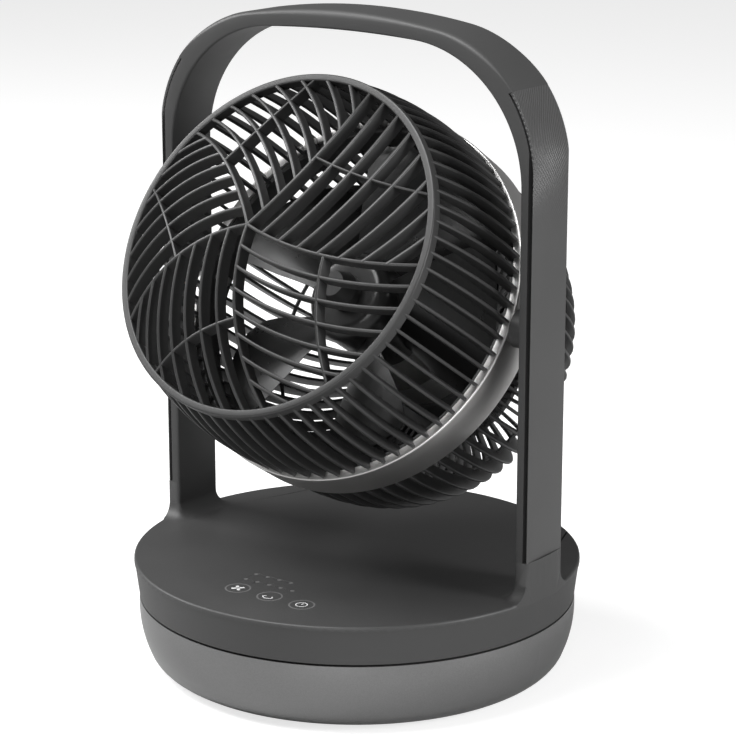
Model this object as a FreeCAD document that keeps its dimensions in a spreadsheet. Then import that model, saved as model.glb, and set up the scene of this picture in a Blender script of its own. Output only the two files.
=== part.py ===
import FreeCAD, Part
import math
import os
import Sketcher
from FreeCAD import Placement, Rotation, Vector

# Table-top air circulator: a ball-shaped grille head that tilts between the legs of a
# carrying hoop, on a round base whose upper half swivels on the lower one.
# Millimetres, +Z up, the fan faces -Y. The origin is the centre of the foot plane.

DIMENSIONS = [
    # lower base
    ("seam_radius", 119.4),
    ("seam_height", 39.7),
    ("seam_gap", 1.2),
    ("bowl_bottom", 1.5),
    ("bowl_flat_radius", 101.5),
    ("bowl_knuckle_radius", 115.0),
    ("bowl_knuckle_height", 11.0),
    ("bowl_corner_arc", 14.0),
    ("bowl_side_arc", 60.0),
    ("bowl_wall", 2.5),
    ("foot_radius", 9.0),
    ("foot_circle", 84.0),
    ("foot_recess", 1.0),
    ("foot_count", 5),
    ("deck_plate_top", 35.0),
    ("deck_plate_thickness", 3.0),
    ("plate_clearance", 0.5),
    ("base_screw_circle", 100.0),
    ("base_screw_count", 6),
    ("base_post_radius", 5.0),
    ("screw_radius", 1.7),
    ("screw_head_radius", 3.0),
    ("screw_head_height", 1.8),
    ("ballast_radius", 82.0),
    ("ballast_bore", 30.0),
    ("ballast_thickness", 6.0),
    ("inlet_radius", 6.0),
    ("inlet_bore", 2.9),
    ("inlet_height", 20.0),
    ("inlet_length", 15.0),
    ("inlet_depth", 10.0),
    # swivel
    ("spindle_radius", 12.0),
    ("spindle_bore", 8.0),
    ("spindle_flange_radius", 19.0),
    ("spindle_flange_thickness", 3.0),
    ("running_clearance", 0.05),
    ("ball_radius", 3.0),
    ("ball_circle", 70.0),
    ("ball_count", 16),
    ("track_depth", 0.3),
    ("cage_width", 9.0),
    ("cage_thickness", 1.8),
    ("hub_radius", 18.0),
    ("hub_length", 6.5),
    ("clip_thickness", 1.5),
    ("gear_module", 1.0),
    ("gear_teeth", 60),
    ("pinion_teeth", 15),
    ("gear_thickness", 4.6),
    ("mesh_clearance", 0.25),
    ("floor_thickness", 2.5),
    ("motor_can_radius", 14.0),
    ("motor_can_height", 12.5),
    # upper base
    ("base_radius", 122.0),
    ("deck_height", 61.3),
    ("deck_thickness", 2.6),
    ("cover_wall", 2.4),
    ("floor_screw_circle", 106.0),
    ("stub_top", 82.0),
    ("stub_fillet", 9.0),
    # carrying hoop
    ("hoop_height", 357.6),
    ("hoop_width", 33.5),
    ("leg_thickness", 8.4),
    ("crown_thickness", 10.1),
    ("outer_corner_arc", 71.0),
    ("outer_crown_arc", 385.0),
    ("inner_corner_arc", 71.0),
    ("inner_crown_arc", 700.0),
    ("hoop_wall", 2.4),
    ("strip_thickness", 1.6),
    ("strip_groove", 0.8),
    ("strip_inset", 0.3),
    ("strip_share", 0.909),
    ("strip_seam", 0.12),
    ("ledge_width", 1.6),
    ("leg_screw_radius", 1.5),
    ("leg_screw_length", 35.0),
    # tilt pivot
    ("pivot_height", 201.15),
    ("tilt_angle", 31.8),
    ("pivot_pin_radius", 6.0),
    ("bush_radius", 8.0),
    ("bush_flange_radius", 9.5),
    ("bush_flange_thickness", 0.6),
    ("pivot_washer_thickness", 0.9),
    ("pivot_boss_radius", 14.0),
    ("arm_radius", 10.0),
    ("pivot_screw_radius", 2.0),
    ("pivot_screw_length", 8.0),
    # head
    ("band_radius", 103.5),
    ("band_wall", 2.6),
    ("band_front", 8.6),
    ("band_rear", 14.2),
    ("band_flange", 2.0),
    ("band_flange_radius", 98.5),
    ("bar_count", 70),
    ("bar_thickness", 1.9),
    ("bar_depth", 6.0),
    ("bar_root_radius", 101.3),
    ("bar_bulge", 4.3),
    ("front_ring_radius", 93.9),
    ("front_ring_inner", 89.8),
    ("front_ring_offset", 84.4),
    ("front_ring_depth", 6.0),
    ("dome_rise", 24.0),
    ("rib_width", 1.9),
    ("rib_depth", 5.5),
    ("rib_sectors", 5),
    ("rib_spacing", 11.0),
    ("rib_sweep", 20.0),
    ("lip_inner", 95.5),
    ("lip_joint", 3.0),
    ("rear_length", 106.0),
    ("rear_flat_radius", 44.0),
    ("rear_power", 2.73),
    ("rear_bar_depth", 5.0),
    ("hoop_ring_offset", 66.0),
    # fan motor and rotor
    ("mount_plate_thickness", 2.8),
    ("mount_sleeve_length", 23.0),
    ("fan_motor_radius", 31.0),
    ("fan_motor_wall", 1.6),
    ("fan_motor_front", 56.4),
    ("bearing_radius", 11.0),
    ("bearing_width", 5.4),
    ("shaft_radius", 4.0),
    ("shaft_front", 24.0),
    ("magnet_radius", 15.9),
    ("stator_inner", 16.5),
    ("stator_length", 24.0),
    ("blade_count", 5),
    ("blade_tip_radius", 87.0),
    ("blade_thickness", 2.2),
    ("fan_hub_radius", 25.0),
    ("fan_hub_rear", 36.0),
    ("fan_hub_front", 12.0),
    # touch controls
    ("icon_radius", 7.0),
    ("icon_pitch", 21.2),
    ("icon_row", 88.0),
    ("dot_radius", 1.2),
    ("dot_pitch", 7.8),
    ("dot_row_near", 74.6),
    ("dot_row_far", 65.4),
    ("inlay_depth", 0.3),
]

doc = FreeCAD.newDocument("air_circulator")
sheet = doc.addObject("Spreadsheet::Sheet", "Sizes")
for row, (alias, number) in enumerate(DIMENSIONS, start=1):
    sheet.set("A%d" % row, alias)
    sheet.set("B%d" % row, str(number))
    sheet.setAlias("B%d" % row, alias)
doc.recompute()


class Length:
    """A size from the sheet, or one worked out from several, with the expression that gives it."""

    def __init__(self, value, text):
        self.value = value
        self.text = text

    def __add__(self, other):
        other = as_length(other)
        return Length(self.value + other.value, "(%s + %s)" % (self.text, other.text))

    def __sub__(self, other):
        other = as_length(other)
        return Length(self.value - other.value, "(%s - %s)" % (self.text, other.text))

    def __mul__(self, other):
        other = as_length(other)
        return Length(self.value * other.value, "(%s * %s)" % (self.text, other.text))

    def __truediv__(self, other):
        other = as_length(other)
        return Length(self.value / other.value, "(%s / %s)" % (self.text, other.text))

    def __radd__(self, other):
        return as_length(other) + self

    def __rsub__(self, other):
        return as_length(other) - self

    def __rmul__(self, other):
        return as_length(other) * self

    def __neg__(self):
        return Length(-self.value, "(-1 * %s)" % self.text)

    def root(self):
        return Length(math.sqrt(self.value), "sqrt(%s)" % self.text)


def as_length(number):
    if isinstance(number, Length):
        return number
    return Length(float(number), "(%r)" % float(number))


class Sizes:
    """size.NAME is the sheet's value of that alias."""

    def __getattr__(self, alias):
        return Length(float(sheet.get(alias)), "Sizes." + alias)


size = Sizes()
sub_parts = []


def sub_part(label, made):
    """Names a finished piece, which is then written to its own file."""
    made.Label = label
    sub_parts.append(made)
    return made


def bind(made, path, length):
    made.setExpression(path, as_length(length).text)


TURNS = {
    "z": Rotation(Vector(0, 0, 1), 0),
    "x": Rotation(Vector(0, 1, 0), 90),
    "y": Rotation(Vector(1, 0, 0), -90),
}


def place(made, x, y, z, along="z"):
    made.Placement = Placement(Vector(0, 0, 0), TURNS[along])
    bind(made, "Placement.Base.x", x)
    bind(made, "Placement.Base.y", y)
    bind(made, "Placement.Base.z", z)
    return made


def in_head(made):
    """Turns a piece drawn about the fan's own axis, +Z forwards, into the tilted head."""
    made.Placement = Placement(Vector(0, 0, 0), Rotation(Vector(1, 0, 0), 90 - size.tilt_angle.value))
    bind(made, "Placement.Base.z", size.pivot_height)
    made.setExpression("Placement.Rotation.Angle", "(90 - Sizes.tilt_angle) * 1 deg")
    return made


def cylinder(name, radius, height, x=0, y=0, z=0, along="z"):
    made = doc.addObject("Part::Cylinder", name)
    bind(made, "Radius", radius)
    bind(made, "Height", height)
    return place(made, x, y, z, along)


def block(name, wide, deep, high, x, y, z):
    """A box centred on x and y that stands on z."""
    made = doc.addObject("Part::Box", name)
    bind(made, "Length", wide)
    bind(made, "Width", deep)
    bind(made, "Height", high)
    return place(made, x - as_length(wide) / 2, y - as_length(deep) / 2, z)


def torus(name, radius, tube, z):
    made = doc.addObject("Part::Torus", name)
    bind(made, "Radius1", radius)
    bind(made, "Radius2", tube)
    return place(made, 0, 0, z)


def fuse(name, pieces):
    made = doc.addObject("Part::MultiFuse", name)
    made.Shapes = pieces
    return made


def cut(name, base, tools):
    made = doc.addObject("Part::Cut", name)
    made.Base = base
    made.Tool = tools[0] if len(tools) == 1 else fuse(name + "_tools", tools)
    return made


def tube(name, outer, inner, z, height, x=0, y=0, along="z"):
    """A plain ring or sleeve between two radii."""
    wall = cylinder(name + "_outer", outer, height, x, y, z, along)
    return cut(name, wall, [cylinder(name + "_bore", inner, height, x, y, z, along)])


def around(circle, count, turn=0.0):
    """Points spread evenly on a circle, the first one at the given angle in degrees."""
    for index in range(int(count.value)):
        angle = math.radians(turn) + 2 * math.pi * index / count.value
        yield index, circle * math.cos(angle), circle * math.sin(angle)


def arc_between(first, second, radius, left):
    """Arc of a circle from one point to another, its centre to the left or right of travel."""
    middle = (first + second) / 2
    chord = second - first
    reach = math.sqrt(radius ** 2 - (chord.Length / 2) ** 2)
    side = Vector(-chord.y, chord.x, 0).normalize() * (reach if left else -reach)
    centre = middle + side
    start = first if left else second
    end = second if left else first
    from_angle = math.atan2(start.y - centre.y, start.x - centre.x)
    to_angle = math.atan2(end.y - centre.y, end.x - centre.x)
    if to_angle < from_angle:
        to_angle += 2 * math.pi
    return Part.ArcOfCircle(Part.Circle(centre, Vector(0, 0, 1), radius), from_angle, to_angle)


def outline(body, role, points, arcs=None, offset=None):
    """A closed sketch through sized points. arcs gives an edge's radius and the side of its centre."""
    arcs = arcs or {}
    sketch = body.newObject("Sketcher::SketchObject", body.Name + "_outline")
    plane = [datum for datum in body.Origin.OriginFeatures if datum.Role == role][0]
    sketch.AttachmentSupport = [(plane, "")]
    sketch.MapMode = "FlatFace"
    if offset is not None:
        bind(sketch, "AttachmentOffset.Base.z", offset)
    points = [(as_length(x), as_length(y)) for x, y in points]
    corners = [Vector(x.value, y.value, 0) for x, y in points]
    ends = {}
    for index, first in enumerate(corners):
        second = corners[(index + 1) % len(corners)]
        if index in arcs:
            radius, left = arcs[index]
            sketch.addGeometry(arc_between(first, second, radius.value, left))
            ends[index] = (1, 2) if left else (2, 1)
        else:
            sketch.addGeometry(Part.LineSegment(first, second))
            ends[index] = (1, 2)
    for index in range(len(corners)):
        after = (index + 1) % len(corners)
        joint = Sketcher.Constraint("Coincident", index, ends[index][1], after, ends[after][0])
        sketch.addConstraint(joint)
    for index, (x, y) in enumerate(points):
        for kind, axis, length in (("DistanceX", -2, x), ("DistanceY", -1, y)):
            if length.value == 0:
                sketch.addConstraint(Sketcher.Constraint("PointOnObject", index, ends[index][0], axis))
                continue
            size_line = Sketcher.Constraint(kind, -1, 1, index, ends[index][0], length.value)
            number = sketch.addConstraint(size_line)
            bind(sketch, "Constraints[%d]" % number, length)
    for index, (radius, left) in arcs.items():
        number = sketch.addConstraint(Sketcher.Constraint("Radius", index, radius.value))
        bind(sketch, "Constraints[%d]" % number, radius)
    return sketch


def turned(name, points, arcs=None):
    """A body of revolution about Z from an outline of (radius, height) points."""
    body = doc.addObject("PartDesign::Body", name)
    sketch = outline(body, "XZ_Plane", points, arcs)
    turn = body.newObject("PartDesign::Revolution", name + "_turn")
    turn.Profile = sketch
    turn.ReferenceAxis = (sketch, ["V_Axis"])
    turn.Angle = 360
    return body


def padded(name, role, points, arcs, depth, centred=True):
    """A body padded from an outline, evenly to both sides of its plane or to one side."""
    body = doc.addObject("PartDesign::Body", name)
    sketch = outline(body, role, points, arcs)
    pad = body.newObject("PartDesign::Pad", name + "_pad")
    pad.Profile = sketch
    pad.SideType = "Symmetric" if centred else "One side"
    bind(pad, "Length", depth)
    return body


def feature(name, shape):
    """A piece whose shape no sketch or primitive gives."""
    made = doc.addObject("Part::Feature", name)
    made.Shape = shape
    return made


def screw(name, x, y, z, length, head_up=True, radius=None):
    """A countersunk-free pan screw along Z. z is the seat under its head."""
    radius = radius or size.screw_radius
    head_z = z if head_up else z - size.screw_head_height
    shank_z = z - length if head_up else z
    shank = cylinder(name + "_shank", radius, length, x, y, shank_z)
    head = cylinder(name + "_head", size.screw_head_radius, size.screw_head_height, x, y, head_z)
    return fuse(name, [shank, head])


# ---------------------------------------------------------------- lower base, stands still

deck_plate_bottom = size.deck_plate_top - size.deck_plate_thickness
bowl_rim = size.seam_height - size.seam_gap / 2
bowl_floor = size.bowl_bottom + size.bowl_wall
base_screw_length = size.deck_plate_thickness + 9


def base_bowl():
    """Open bowl with a curved side, screw posts, foot recesses and the inlet hole."""
    inner_knuckle = (size.bowl_knuckle_radius - size.bowl_wall * 0.95,
                     size.bowl_knuckle_height + size.bowl_wall * 0.32)
    shell = turned("bowl_shell", [
        (0, size.bowl_bottom),
        (size.bowl_flat_radius, size.bowl_bottom),
        (size.bowl_knuckle_radius, size.bowl_knuckle_height),
        (size.seam_radius, bowl_rim),
        (size.seam_radius - size.bowl_wall, bowl_rim),
        inner_knuckle,
        (size.bowl_flat_radius, bowl_floor),
        (0, bowl_floor),
    ], {
        1: (size.bowl_corner_arc, True),
        2: (size.bowl_side_arc, True),
        4: (size.bowl_side_arc - size.bowl_wall, False),
        5: (size.bowl_corner_arc - size.bowl_wall, False),
    })
    sunk = size.bowl_wall / 2
    pieces = [shell]
    holes = []
    for index, x, y in around(size.base_screw_circle, size.base_screw_count):
        height = deck_plate_bottom - bowl_floor + sunk
        pieces.append(cylinder("bowl_post_%d" % index, size.base_post_radius, height, x, y, bowl_floor - sunk))
        depth = base_screw_length - size.deck_plate_thickness
        holes.append(cylinder("post_hole_%d" % index, size.screw_radius, depth, x, y, deck_plate_bottom - depth))
    for index, x, y in around(size.foot_circle, size.foot_count, 90):
        holes.append(cylinder("foot_hole_%d" % index, size.foot_radius, size.foot_recess, x, y, size.bowl_bottom))
    holes.append(cylinder("inlet_hole", size.inlet_radius, size.inlet_length + 10, 0,
                          size.seam_radius - size.inlet_length, size.inlet_height, "y"))
    sub_part("base_bowl", cut("bowl_cut", fuse("bowl_fused", pieces), holes))


def rubber_feet():
    feet = []
    for index, x, y in around(size.foot_circle, size.foot_count, 90):
        height = size.bowl_bottom + size.foot_recess
        feet.append(cylinder("foot_%d" % index, size.foot_radius, height, x, y, 0))
    sub_part("rubber_feet", fuse("feet_group", feet))


def power_inlet():
    """Round low-voltage socket in the rear wall, its mouth just under the bowl's surface."""
    rear = size.seam_radius - 3.4
    barrel = cylinder("inlet_barrel", size.inlet_radius, size.inlet_length, 0, rear - size.inlet_length,
                      size.inlet_height, "y")
    bore = cylinder("inlet_mouth", size.inlet_bore, size.inlet_depth, 0, rear - size.inlet_depth,
                    size.inlet_height, "y")
    sub_part("power_inlet", cut("inlet_cut", barrel, [bore]))


def ballast_plate():
    sub_part("ballast_plate", tube("ballast", size.ballast_radius, size.ballast_bore, bowl_floor,
                                   size.ballast_thickness))


ball_height = size.deck_plate_top - size.track_depth + size.ball_radius
track_radius = size.ball_radius + size.running_clearance


def base_deck():
    """Plate that closes the bowl and carries the spindle and the lower ball track."""
    radius = size.seam_radius - size.bowl_wall - size.plate_clearance - 0.4
    plate = cylinder("deck_disc", radius, size.deck_plate_thickness, 0, 0, deck_plate_bottom)
    holes = [cylinder("deck_bore", size.spindle_radius, size.deck_plate_thickness, 0, 0, deck_plate_bottom)]
    holes.append(torus("deck_track", size.ball_circle, track_radius, ball_height))
    for index, x, y in around(size.base_screw_circle, size.base_screw_count):
        holes.append(cylinder("deck_hole_%d" % index, size.screw_radius, size.deck_plate_thickness, x, y,
                              deck_plate_bottom))
    sub_part("base_deck", cut("deck_cut", plate, holes))


def base_screws():
    screws = []
    for index, x, y in around(size.base_screw_circle, size.base_screw_count):
        screws.append(screw("base_screw_%d" % index, x, y, size.deck_plate_top, base_screw_length))
    sub_part("base_screws", fuse("base_screw_group", screws))


floor_bottom = size.deck_plate_top - size.track_depth * 2 + size.ball_radius * 2
floor_top = floor_bottom + size.floor_thickness
hub_top = floor_bottom + size.hub_length
clip_bottom = hub_top + size.running_clearance


def swivel_spindle():
    """Hollow steel spindle, pushed up through the plate onto its flange."""
    top = clip_bottom + size.clip_thickness + 1.2
    foot = deck_plate_bottom - size.spindle_flange_thickness
    sub_part("swivel_spindle", turned("spindle", [
        (size.spindle_bore, foot),
        (size.spindle_flange_radius, foot),
        (size.spindle_flange_radius, deck_plate_bottom),
        (size.spindle_radius, deck_plate_bottom),
        (size.spindle_radius, top),
        (size.spindle_bore, top),
    ]))


def spindle_clip():
    sub_part("spindle_clip", tube("clip", size.spindle_radius + 5, size.spindle_radius, clip_bottom,
                                  size.clip_thickness))


def gear_solid(name, teeth, bore, z, thickness, x, y, turn):
    """Spur gear with straight-flanked teeth, the first one at the given angle in degrees."""
    pitch = size.gear_module.value * teeth.value / 2
    step = 2 * math.pi / teeth.value
    root = pitch - 1.25 * size.gear_module.value
    tip = pitch + 0.9 * size.gear_module.value
    corners = []
    for index in range(int(teeth.value)):
        middle = math.radians(turn) + step * index
        for radius, share in ((root, -0.30), (pitch, -0.21), (tip, -0.10), (tip, 0.10), (pitch, 0.21), (root, 0.30)):
            angle = middle + step * share
            corners.append(Vector(radius * math.cos(angle), radius * math.sin(angle), 0))
    rim = Part.Face(Part.makePolygon(corners + corners[:1]))
    hole = Part.Face(Part.Wire(Part.makeCircle(bore.value)))
    gear = rim.cut(hole).extrude(Vector(0, 0, thickness.value))
    return place(feature(name, gear), x, y, z)


gear_bottom = size.deck_plate_top
pinion_centre = size.gear_module * (size.gear_teeth + size.pinion_teeth) / 2 + size.mesh_clearance


def swivel_gear():
    sub_part("swivel_gear", gear_solid("fixed_gear", size.gear_teeth, size.spindle_radius, gear_bottom,
                                       size.gear_thickness, 0, 0, 90.0))


def drive_pinion():
    """Pinion that walks round the fixed gear, with its stub shaft up into the motor."""
    gap = 180.0 / size.pinion_teeth.value
    lift = 0.3
    wheel = gear_solid("pinion_wheel", size.pinion_teeth, size.screw_radius, gear_bottom + lift,
                       size.gear_thickness - lift, 0, pinion_centre, -90.0 + gap)
    shaft = cylinder("pinion_shaft", size.screw_radius, floor_top - gear_bottom - lift, 0, pinion_centre,
                     gear_bottom + lift)
    collar = cylinder("pinion_collar", size.screw_radius * 2, floor_top - gear_bottom - size.gear_thickness, 0,
                      pinion_centre, gear_bottom + size.gear_thickness)
    sub_part("drive_pinion", fuse("pinion", [wheel, shaft, collar]))


def thrust_balls():
    balls = []
    for index, x, y in around(size.ball_circle, size.ball_count):
        ball = doc.addObject("Part::Sphere", "ball_%d" % index)
        bind(ball, "Radius", size.ball_radius)
        balls.append(place(ball, x, y, ball_height))
    sub_part("thrust_balls", fuse("ball_group", balls))


def ball_cage():
    half = size.cage_width / 2
    low = ball_height - size.cage_thickness / 2
    ring = tube("cage_ring", size.ball_circle + half, size.ball_circle - half, low, size.cage_thickness)
    pockets = []
    for index, x, y in around(size.ball_circle, size.ball_count):
        pockets.append(cylinder("pocket_%d" % index, size.ball_radius + size.running_clearance,
                                size.cage_thickness, x, y, low))
    sub_part("ball_cage", cut("cage", ring, pockets))


# ---------------------------------------------------------------- upper base, swivels

cover_bottom = size.seam_height + size.seam_gap / 2
deck_under = size.deck_height - size.deck_thickness
leg_inner = size.base_radius - size.leg_thickness
leg_screw_x = leg_inner + 2.8
floor_post_top = deck_under + 0.2


def leg_screw_places():
    for side in (-1, 1):
        for end in (-1, 1):
            yield "%d_%d" % (side + 1, end + 1), leg_screw_x * side, size.hoop_width * 0.25 * end


def icon_places():
    """Touch symbols in a row near the front edge, with two rows of setting dots behind them."""
    for column in (-0.59, 0.41, 1.41):
        yield "icon_%d" % int(column * 10 + 6), size.icon_pitch * column, -size.icon_row, True
    for column in range(4):
        yield "far_dot_%d" % column, size.dot_pitch * (column - 2.35), -size.dot_row_far, False
    for column in range(5):
        yield "near_dot_%d" % column, size.dot_pitch * (column - 2.3), -size.dot_row_near, False


def icon_solids(suffix):
    low = size.deck_height - size.inlay_depth
    solids = []
    for name, x, y, ringed in icon_places():
        if ringed:
            disc = cylinder(name + suffix, size.icon_radius, size.inlay_depth, x, y, low)
            middle = cylinder(name + "_middle" + suffix, size.icon_radius - 0.9, size.inlay_depth, x, y, low)
            solids.append(cut(name + "_ring" + suffix, disc, [middle]))
        else:
            solids.append(cylinder(name + suffix, size.dot_radius, size.inlay_depth, x, y, low))
    return solids


def top_cover():
    """Deck and skirt in one shell, with the two stubs that the hoop stands on."""
    inner_seam = size.seam_radius - size.cover_wall
    skirt = turned("cover_shell", [
        (0, deck_under),
        (size.base_radius - size.cover_wall - 0.2, deck_under),
        (inner_seam, cover_bottom),
        (size.seam_radius, cover_bottom),
        (size.base_radius, size.deck_height),
        (0, size.deck_height),
    ])
    rounded = doc.addObject("Part::Feature", "cover_stubs")
    rounded.Shape = stub_shape()
    pieces = [skirt, rounded]
    holes = icon_solids("_pocket")
    for index, x, y in around(size.floor_screw_circle, size.base_screw_count, 30):
        height = floor_post_top - floor_top
        pieces.append(cylinder("cover_post_%d" % index, size.base_post_radius, height, x, y, floor_top))
        holes.append(cylinder("cover_hole_%d" % index, size.screw_radius, 10, x, y, floor_top))
    for name, x, y in leg_screw_places():
        holes.append(cylinder("stub_hole_" + name, size.leg_screw_radius, size.stub_top - deck_under, x, y,
                              deck_under))
    sub_part("top_cover", cut("cover_cut", fuse("cover_fused", pieces), holes))


def stub_shape():
    """Both leg stubs on a thin slice of the deck, flared into it by a fillet all round."""
    radius = size.base_radius.value
    top = size.stub_top.value
    deck = size.deck_height.value
    slice_thickness = size.deck_thickness.value
    inner = leg_inner.value
    wide = size.hoop_width.value
    flare = size.stub_fillet.value
    low = deck - slice_thickness
    disc = Part.makeCylinder(radius, slice_thickness, Vector(0, 0, low))
    reach = Part.makeCylinder(radius, top - low, Vector(0, 0, low))
    stubs = []
    for side in (-1, 1):
        corner = Vector(inner if side > 0 else -radius - 1, -wide / 2, low)
        post = Part.makeBox(radius + 1 - inner, wide, top - low, corner)
        upright = [edge for edge in post.Edges if abs(edge.CenterOfMass.x - side * inner) < 0.01
                   and edge.Length > 10 and abs(edge.Vertexes[0].Z - edge.Vertexes[1].Z) > 10]
        stubs.append(post.makeFillet(hoop_edge_round, upright).common(reach))
    joined = disc.multiFuse(stubs).removeSplitter()
    feet = [edge for edge in joined.Edges if abs(edge.BoundBox.ZMin - deck) < 0.01
            and abs(edge.BoundBox.ZMax - deck) < 0.01 and edge.CenterOfMass.distanceToPoint(Vector(0, 0, deck)) > 10
            and math.hypot(edge.CenterOfMass.x, edge.CenterOfMass.y) < radius - 1
            and not on_circle(edge, radius)]
    return joined.makeFillet(flare, feet)


def on_circle(edge, radius):
    """Tells whether both ends and the middle of an edge lie on the rim of the deck."""
    middle = edge.valueAt((edge.FirstParameter + edge.LastParameter) / 2)
    spots = [vertex.Point for vertex in edge.Vertexes] + [middle]
    return all(abs(math.hypot(spot.x, spot.y) - radius) < 0.05 for spot in spots)


hoop_edge_round = 1.6


def upper_floor():
    """Plate under the cover: hub round the spindle, upper ball track, pinion hole."""
    outer = size.seam_radius - size.cover_wall - size.plate_clearance
    plate = turned("floor_plate", [
        (size.spindle_radius + size.running_clearance, floor_bottom + 0.1),
        (size.hub_radius, floor_bottom + 0.1),
        (size.hub_radius, floor_bottom),
        (outer, floor_bottom),
        (outer, floor_top),
        (size.hub_radius, floor_top),
        (size.hub_radius, hub_top),
        (size.spindle_radius + size.running_clearance, hub_top),
    ])
    pieces = [plate]
    for name, x, y in board_posts():
        pieces.append(cylinder("standoff_" + name, 3, 2.2, x, y, floor_top - 0.2))
    holes = [torus("floor_track", size.ball_circle, track_radius, ball_height)]
    tip_radius = size.gear_module * (size.pinion_teeth / 2 + 1.4)
    holes.append(cylinder("pinion_hole", tip_radius, size.floor_thickness, 0, pinion_centre, floor_bottom))
    for index, x, y in around(size.floor_screw_circle, size.base_screw_count, 30):
        holes.append(cylinder("floor_hole_%d" % index, size.screw_radius, size.floor_thickness, x, y,
                              floor_bottom))
        holes.append(cylinder("floor_sink_%d" % index, size.screw_head_radius, size.screw_head_height, x, y,
                              floor_bottom))
    sub_part("upper_floor", cut("floor_cut", fuse("floor_fused", pieces), holes))


def floor_screws():
    screws = []
    for index, x, y in around(size.floor_screw_circle, size.base_screw_count, 30):
        seat = floor_bottom + size.screw_head_height
        length = floor_top + 10 - seat
        screws.append(screw("floor_screw_%d" % index, x, y, seat, length, head_up=False))
    sub_part("floor_screws", fuse("floor_screw_group", screws))


BOARD_CENTRE = -62.0


def board_posts():
    for index, (x, y) in enumerate(((-30, -16), (30, -16), (-30, 16), (30, 16))):
        yield str(index), as_length(x), as_length(BOARD_CENTRE + y)


def control_boards():
    """Main board on the floor, touch board and its light guide close under the deck."""
    main = block("main_board", 72, 42, 1.6, as_length(0), as_length(BOARD_CENTRE), floor_top + 2)
    parts = [main]
    chip = block("main_chip", 12, 12, 2, as_length(-12), as_length(BOARD_CENTRE), floor_top + 3.6)
    coil = cylinder("main_coil", 5, 6, 18, BOARD_CENTRE + 6, floor_top + 3.6)
    parts += [chip, coil]
    sub_part("control_board", fuse("main_board_group", parts))
    guide_thickness = size.deck_thickness
    guide = block("guide_block", 66, 40, guide_thickness, size.icon_pitch * 0.41, -size.dot_row_near - 2,
                  deck_under - guide_thickness)
    sub_part("light_guide", guide)
    touch = block("touch_block", 74, 46, 1.2, size.icon_pitch * 0.41, -size.dot_row_near - 2,
                  deck_under - guide_thickness - 1.2)
    sub_part("touch_board", touch)
    sub_part("buzzer", cylinder("buzzer_can", 5, 4, -26, BOARD_CENTRE + 12, floor_top + 3.6))


def icon_inlays():
    sub_part("icon_inlays", fuse("icon_group", icon_solids("")))


def swivel_motor():
    """Geared synchronous motor that stands over the pinion hole."""
    low = floor_top + size.running_clearance
    can = cylinder("motor_can", size.motor_can_radius, size.motor_can_height, 0, pinion_centre, low)
    ear = block("motor_ears", size.motor_can_radius * 2 + 14, 8, 1.5, as_length(0), pinion_centre, low)
    sub_part("swivel_motor", fuse("motor_fused", [can, ear]))


# ---------------------------------------------------------------- carrying hoop

def arch(half_width, top, corner_arc, crown_arc):
    """Corner points of one arch from its right springing to its left one."""
    centre_x = half_width - corner_arc
    reach = crown_arc - corner_arc
    crown_centre = top - crown_arc
    rise = (reach * reach - centre_x * centre_x).root()
    share = crown_arc / reach
    return [
        (half_width, crown_centre + rise),
        (centre_x * share, crown_centre + rise * share),
        (-(centre_x * share), crown_centre + rise * share),
        (-half_width, crown_centre + rise),
    ]


def arch_band(name, outer_inset, inner_offset, depth, low):
    """Band of the hoop between two arches, each set in from the outer or out from the inner outline."""
    outer = arch(size.base_radius - outer_inset, size.hoop_height - outer_inset,
                 size.outer_corner_arc - outer_inset, size.outer_crown_arc - outer_inset)
    inner_crown = size.hoop_height - size.crown_thickness
    if inner_offset is None:
        inner = arch(size.base_radius - outer_inset - strip_band, size.hoop_height - outer_inset - strip_band,
                     size.outer_corner_arc - outer_inset - strip_band,
                     size.outer_crown_arc - outer_inset - strip_band)
    else:
        inner = arch(leg_inner + inner_offset, inner_crown + inner_offset,
                     size.inner_corner_arc + inner_offset, size.inner_crown_arc + inner_offset)
    points = [(outer[0][0], low)] + outer + [(outer[3][0], low), (inner[3][0], low)]
    points += inner[::-1] + [(inner[0][0], low)]
    outer_corner = size.outer_corner_arc - outer_inset
    outer_crown = size.outer_crown_arc - outer_inset
    if inner_offset is None:
        inner_corner = outer_corner - strip_band
        inner_crown_arc = outer_crown - strip_band
    else:
        inner_corner = size.inner_corner_arc + inner_offset
        inner_crown_arc = size.inner_crown_arc + inner_offset
    arcs = {
        1: (outer_corner, True),
        2: (outer_crown, True),
        3: (outer_corner, True),
        7: (inner_corner, False),
        8: (inner_crown_arc, False),
        9: (inner_corner, False),
    }
    return padded(name, "XZ_Plane", points, arcs, depth)


strip_band = size.strip_thickness


def in_plan(name, base):
    """Keeps only what lies inside the round plan of the base."""
    made = doc.addObject("Part::Common", name)
    made.Base = base
    made.Tool = cylinder(name + "_plan", size.base_radius, size.hoop_height + 10)
    return made


strip_top = size.hoop_height * size.strip_share


def above_seam(name, base, height):
    """Keeps what lies above one height."""
    made = doc.addObject("Part::Common", name)
    made.Base = base
    half = size.base_radius + 10
    made.Tool = block(name + "_room", half * 2, size.hoop_width + 10, size.hoop_height, 0, 0, height)
    return made


def below_seam(name, base, height):
    """Keeps what lies below one height."""
    half = size.base_radius + 10
    return cut(name, base, [block(name + "_room", half * 2, size.hoop_width + 10, size.hoop_height, 0, 0, height)])


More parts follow.
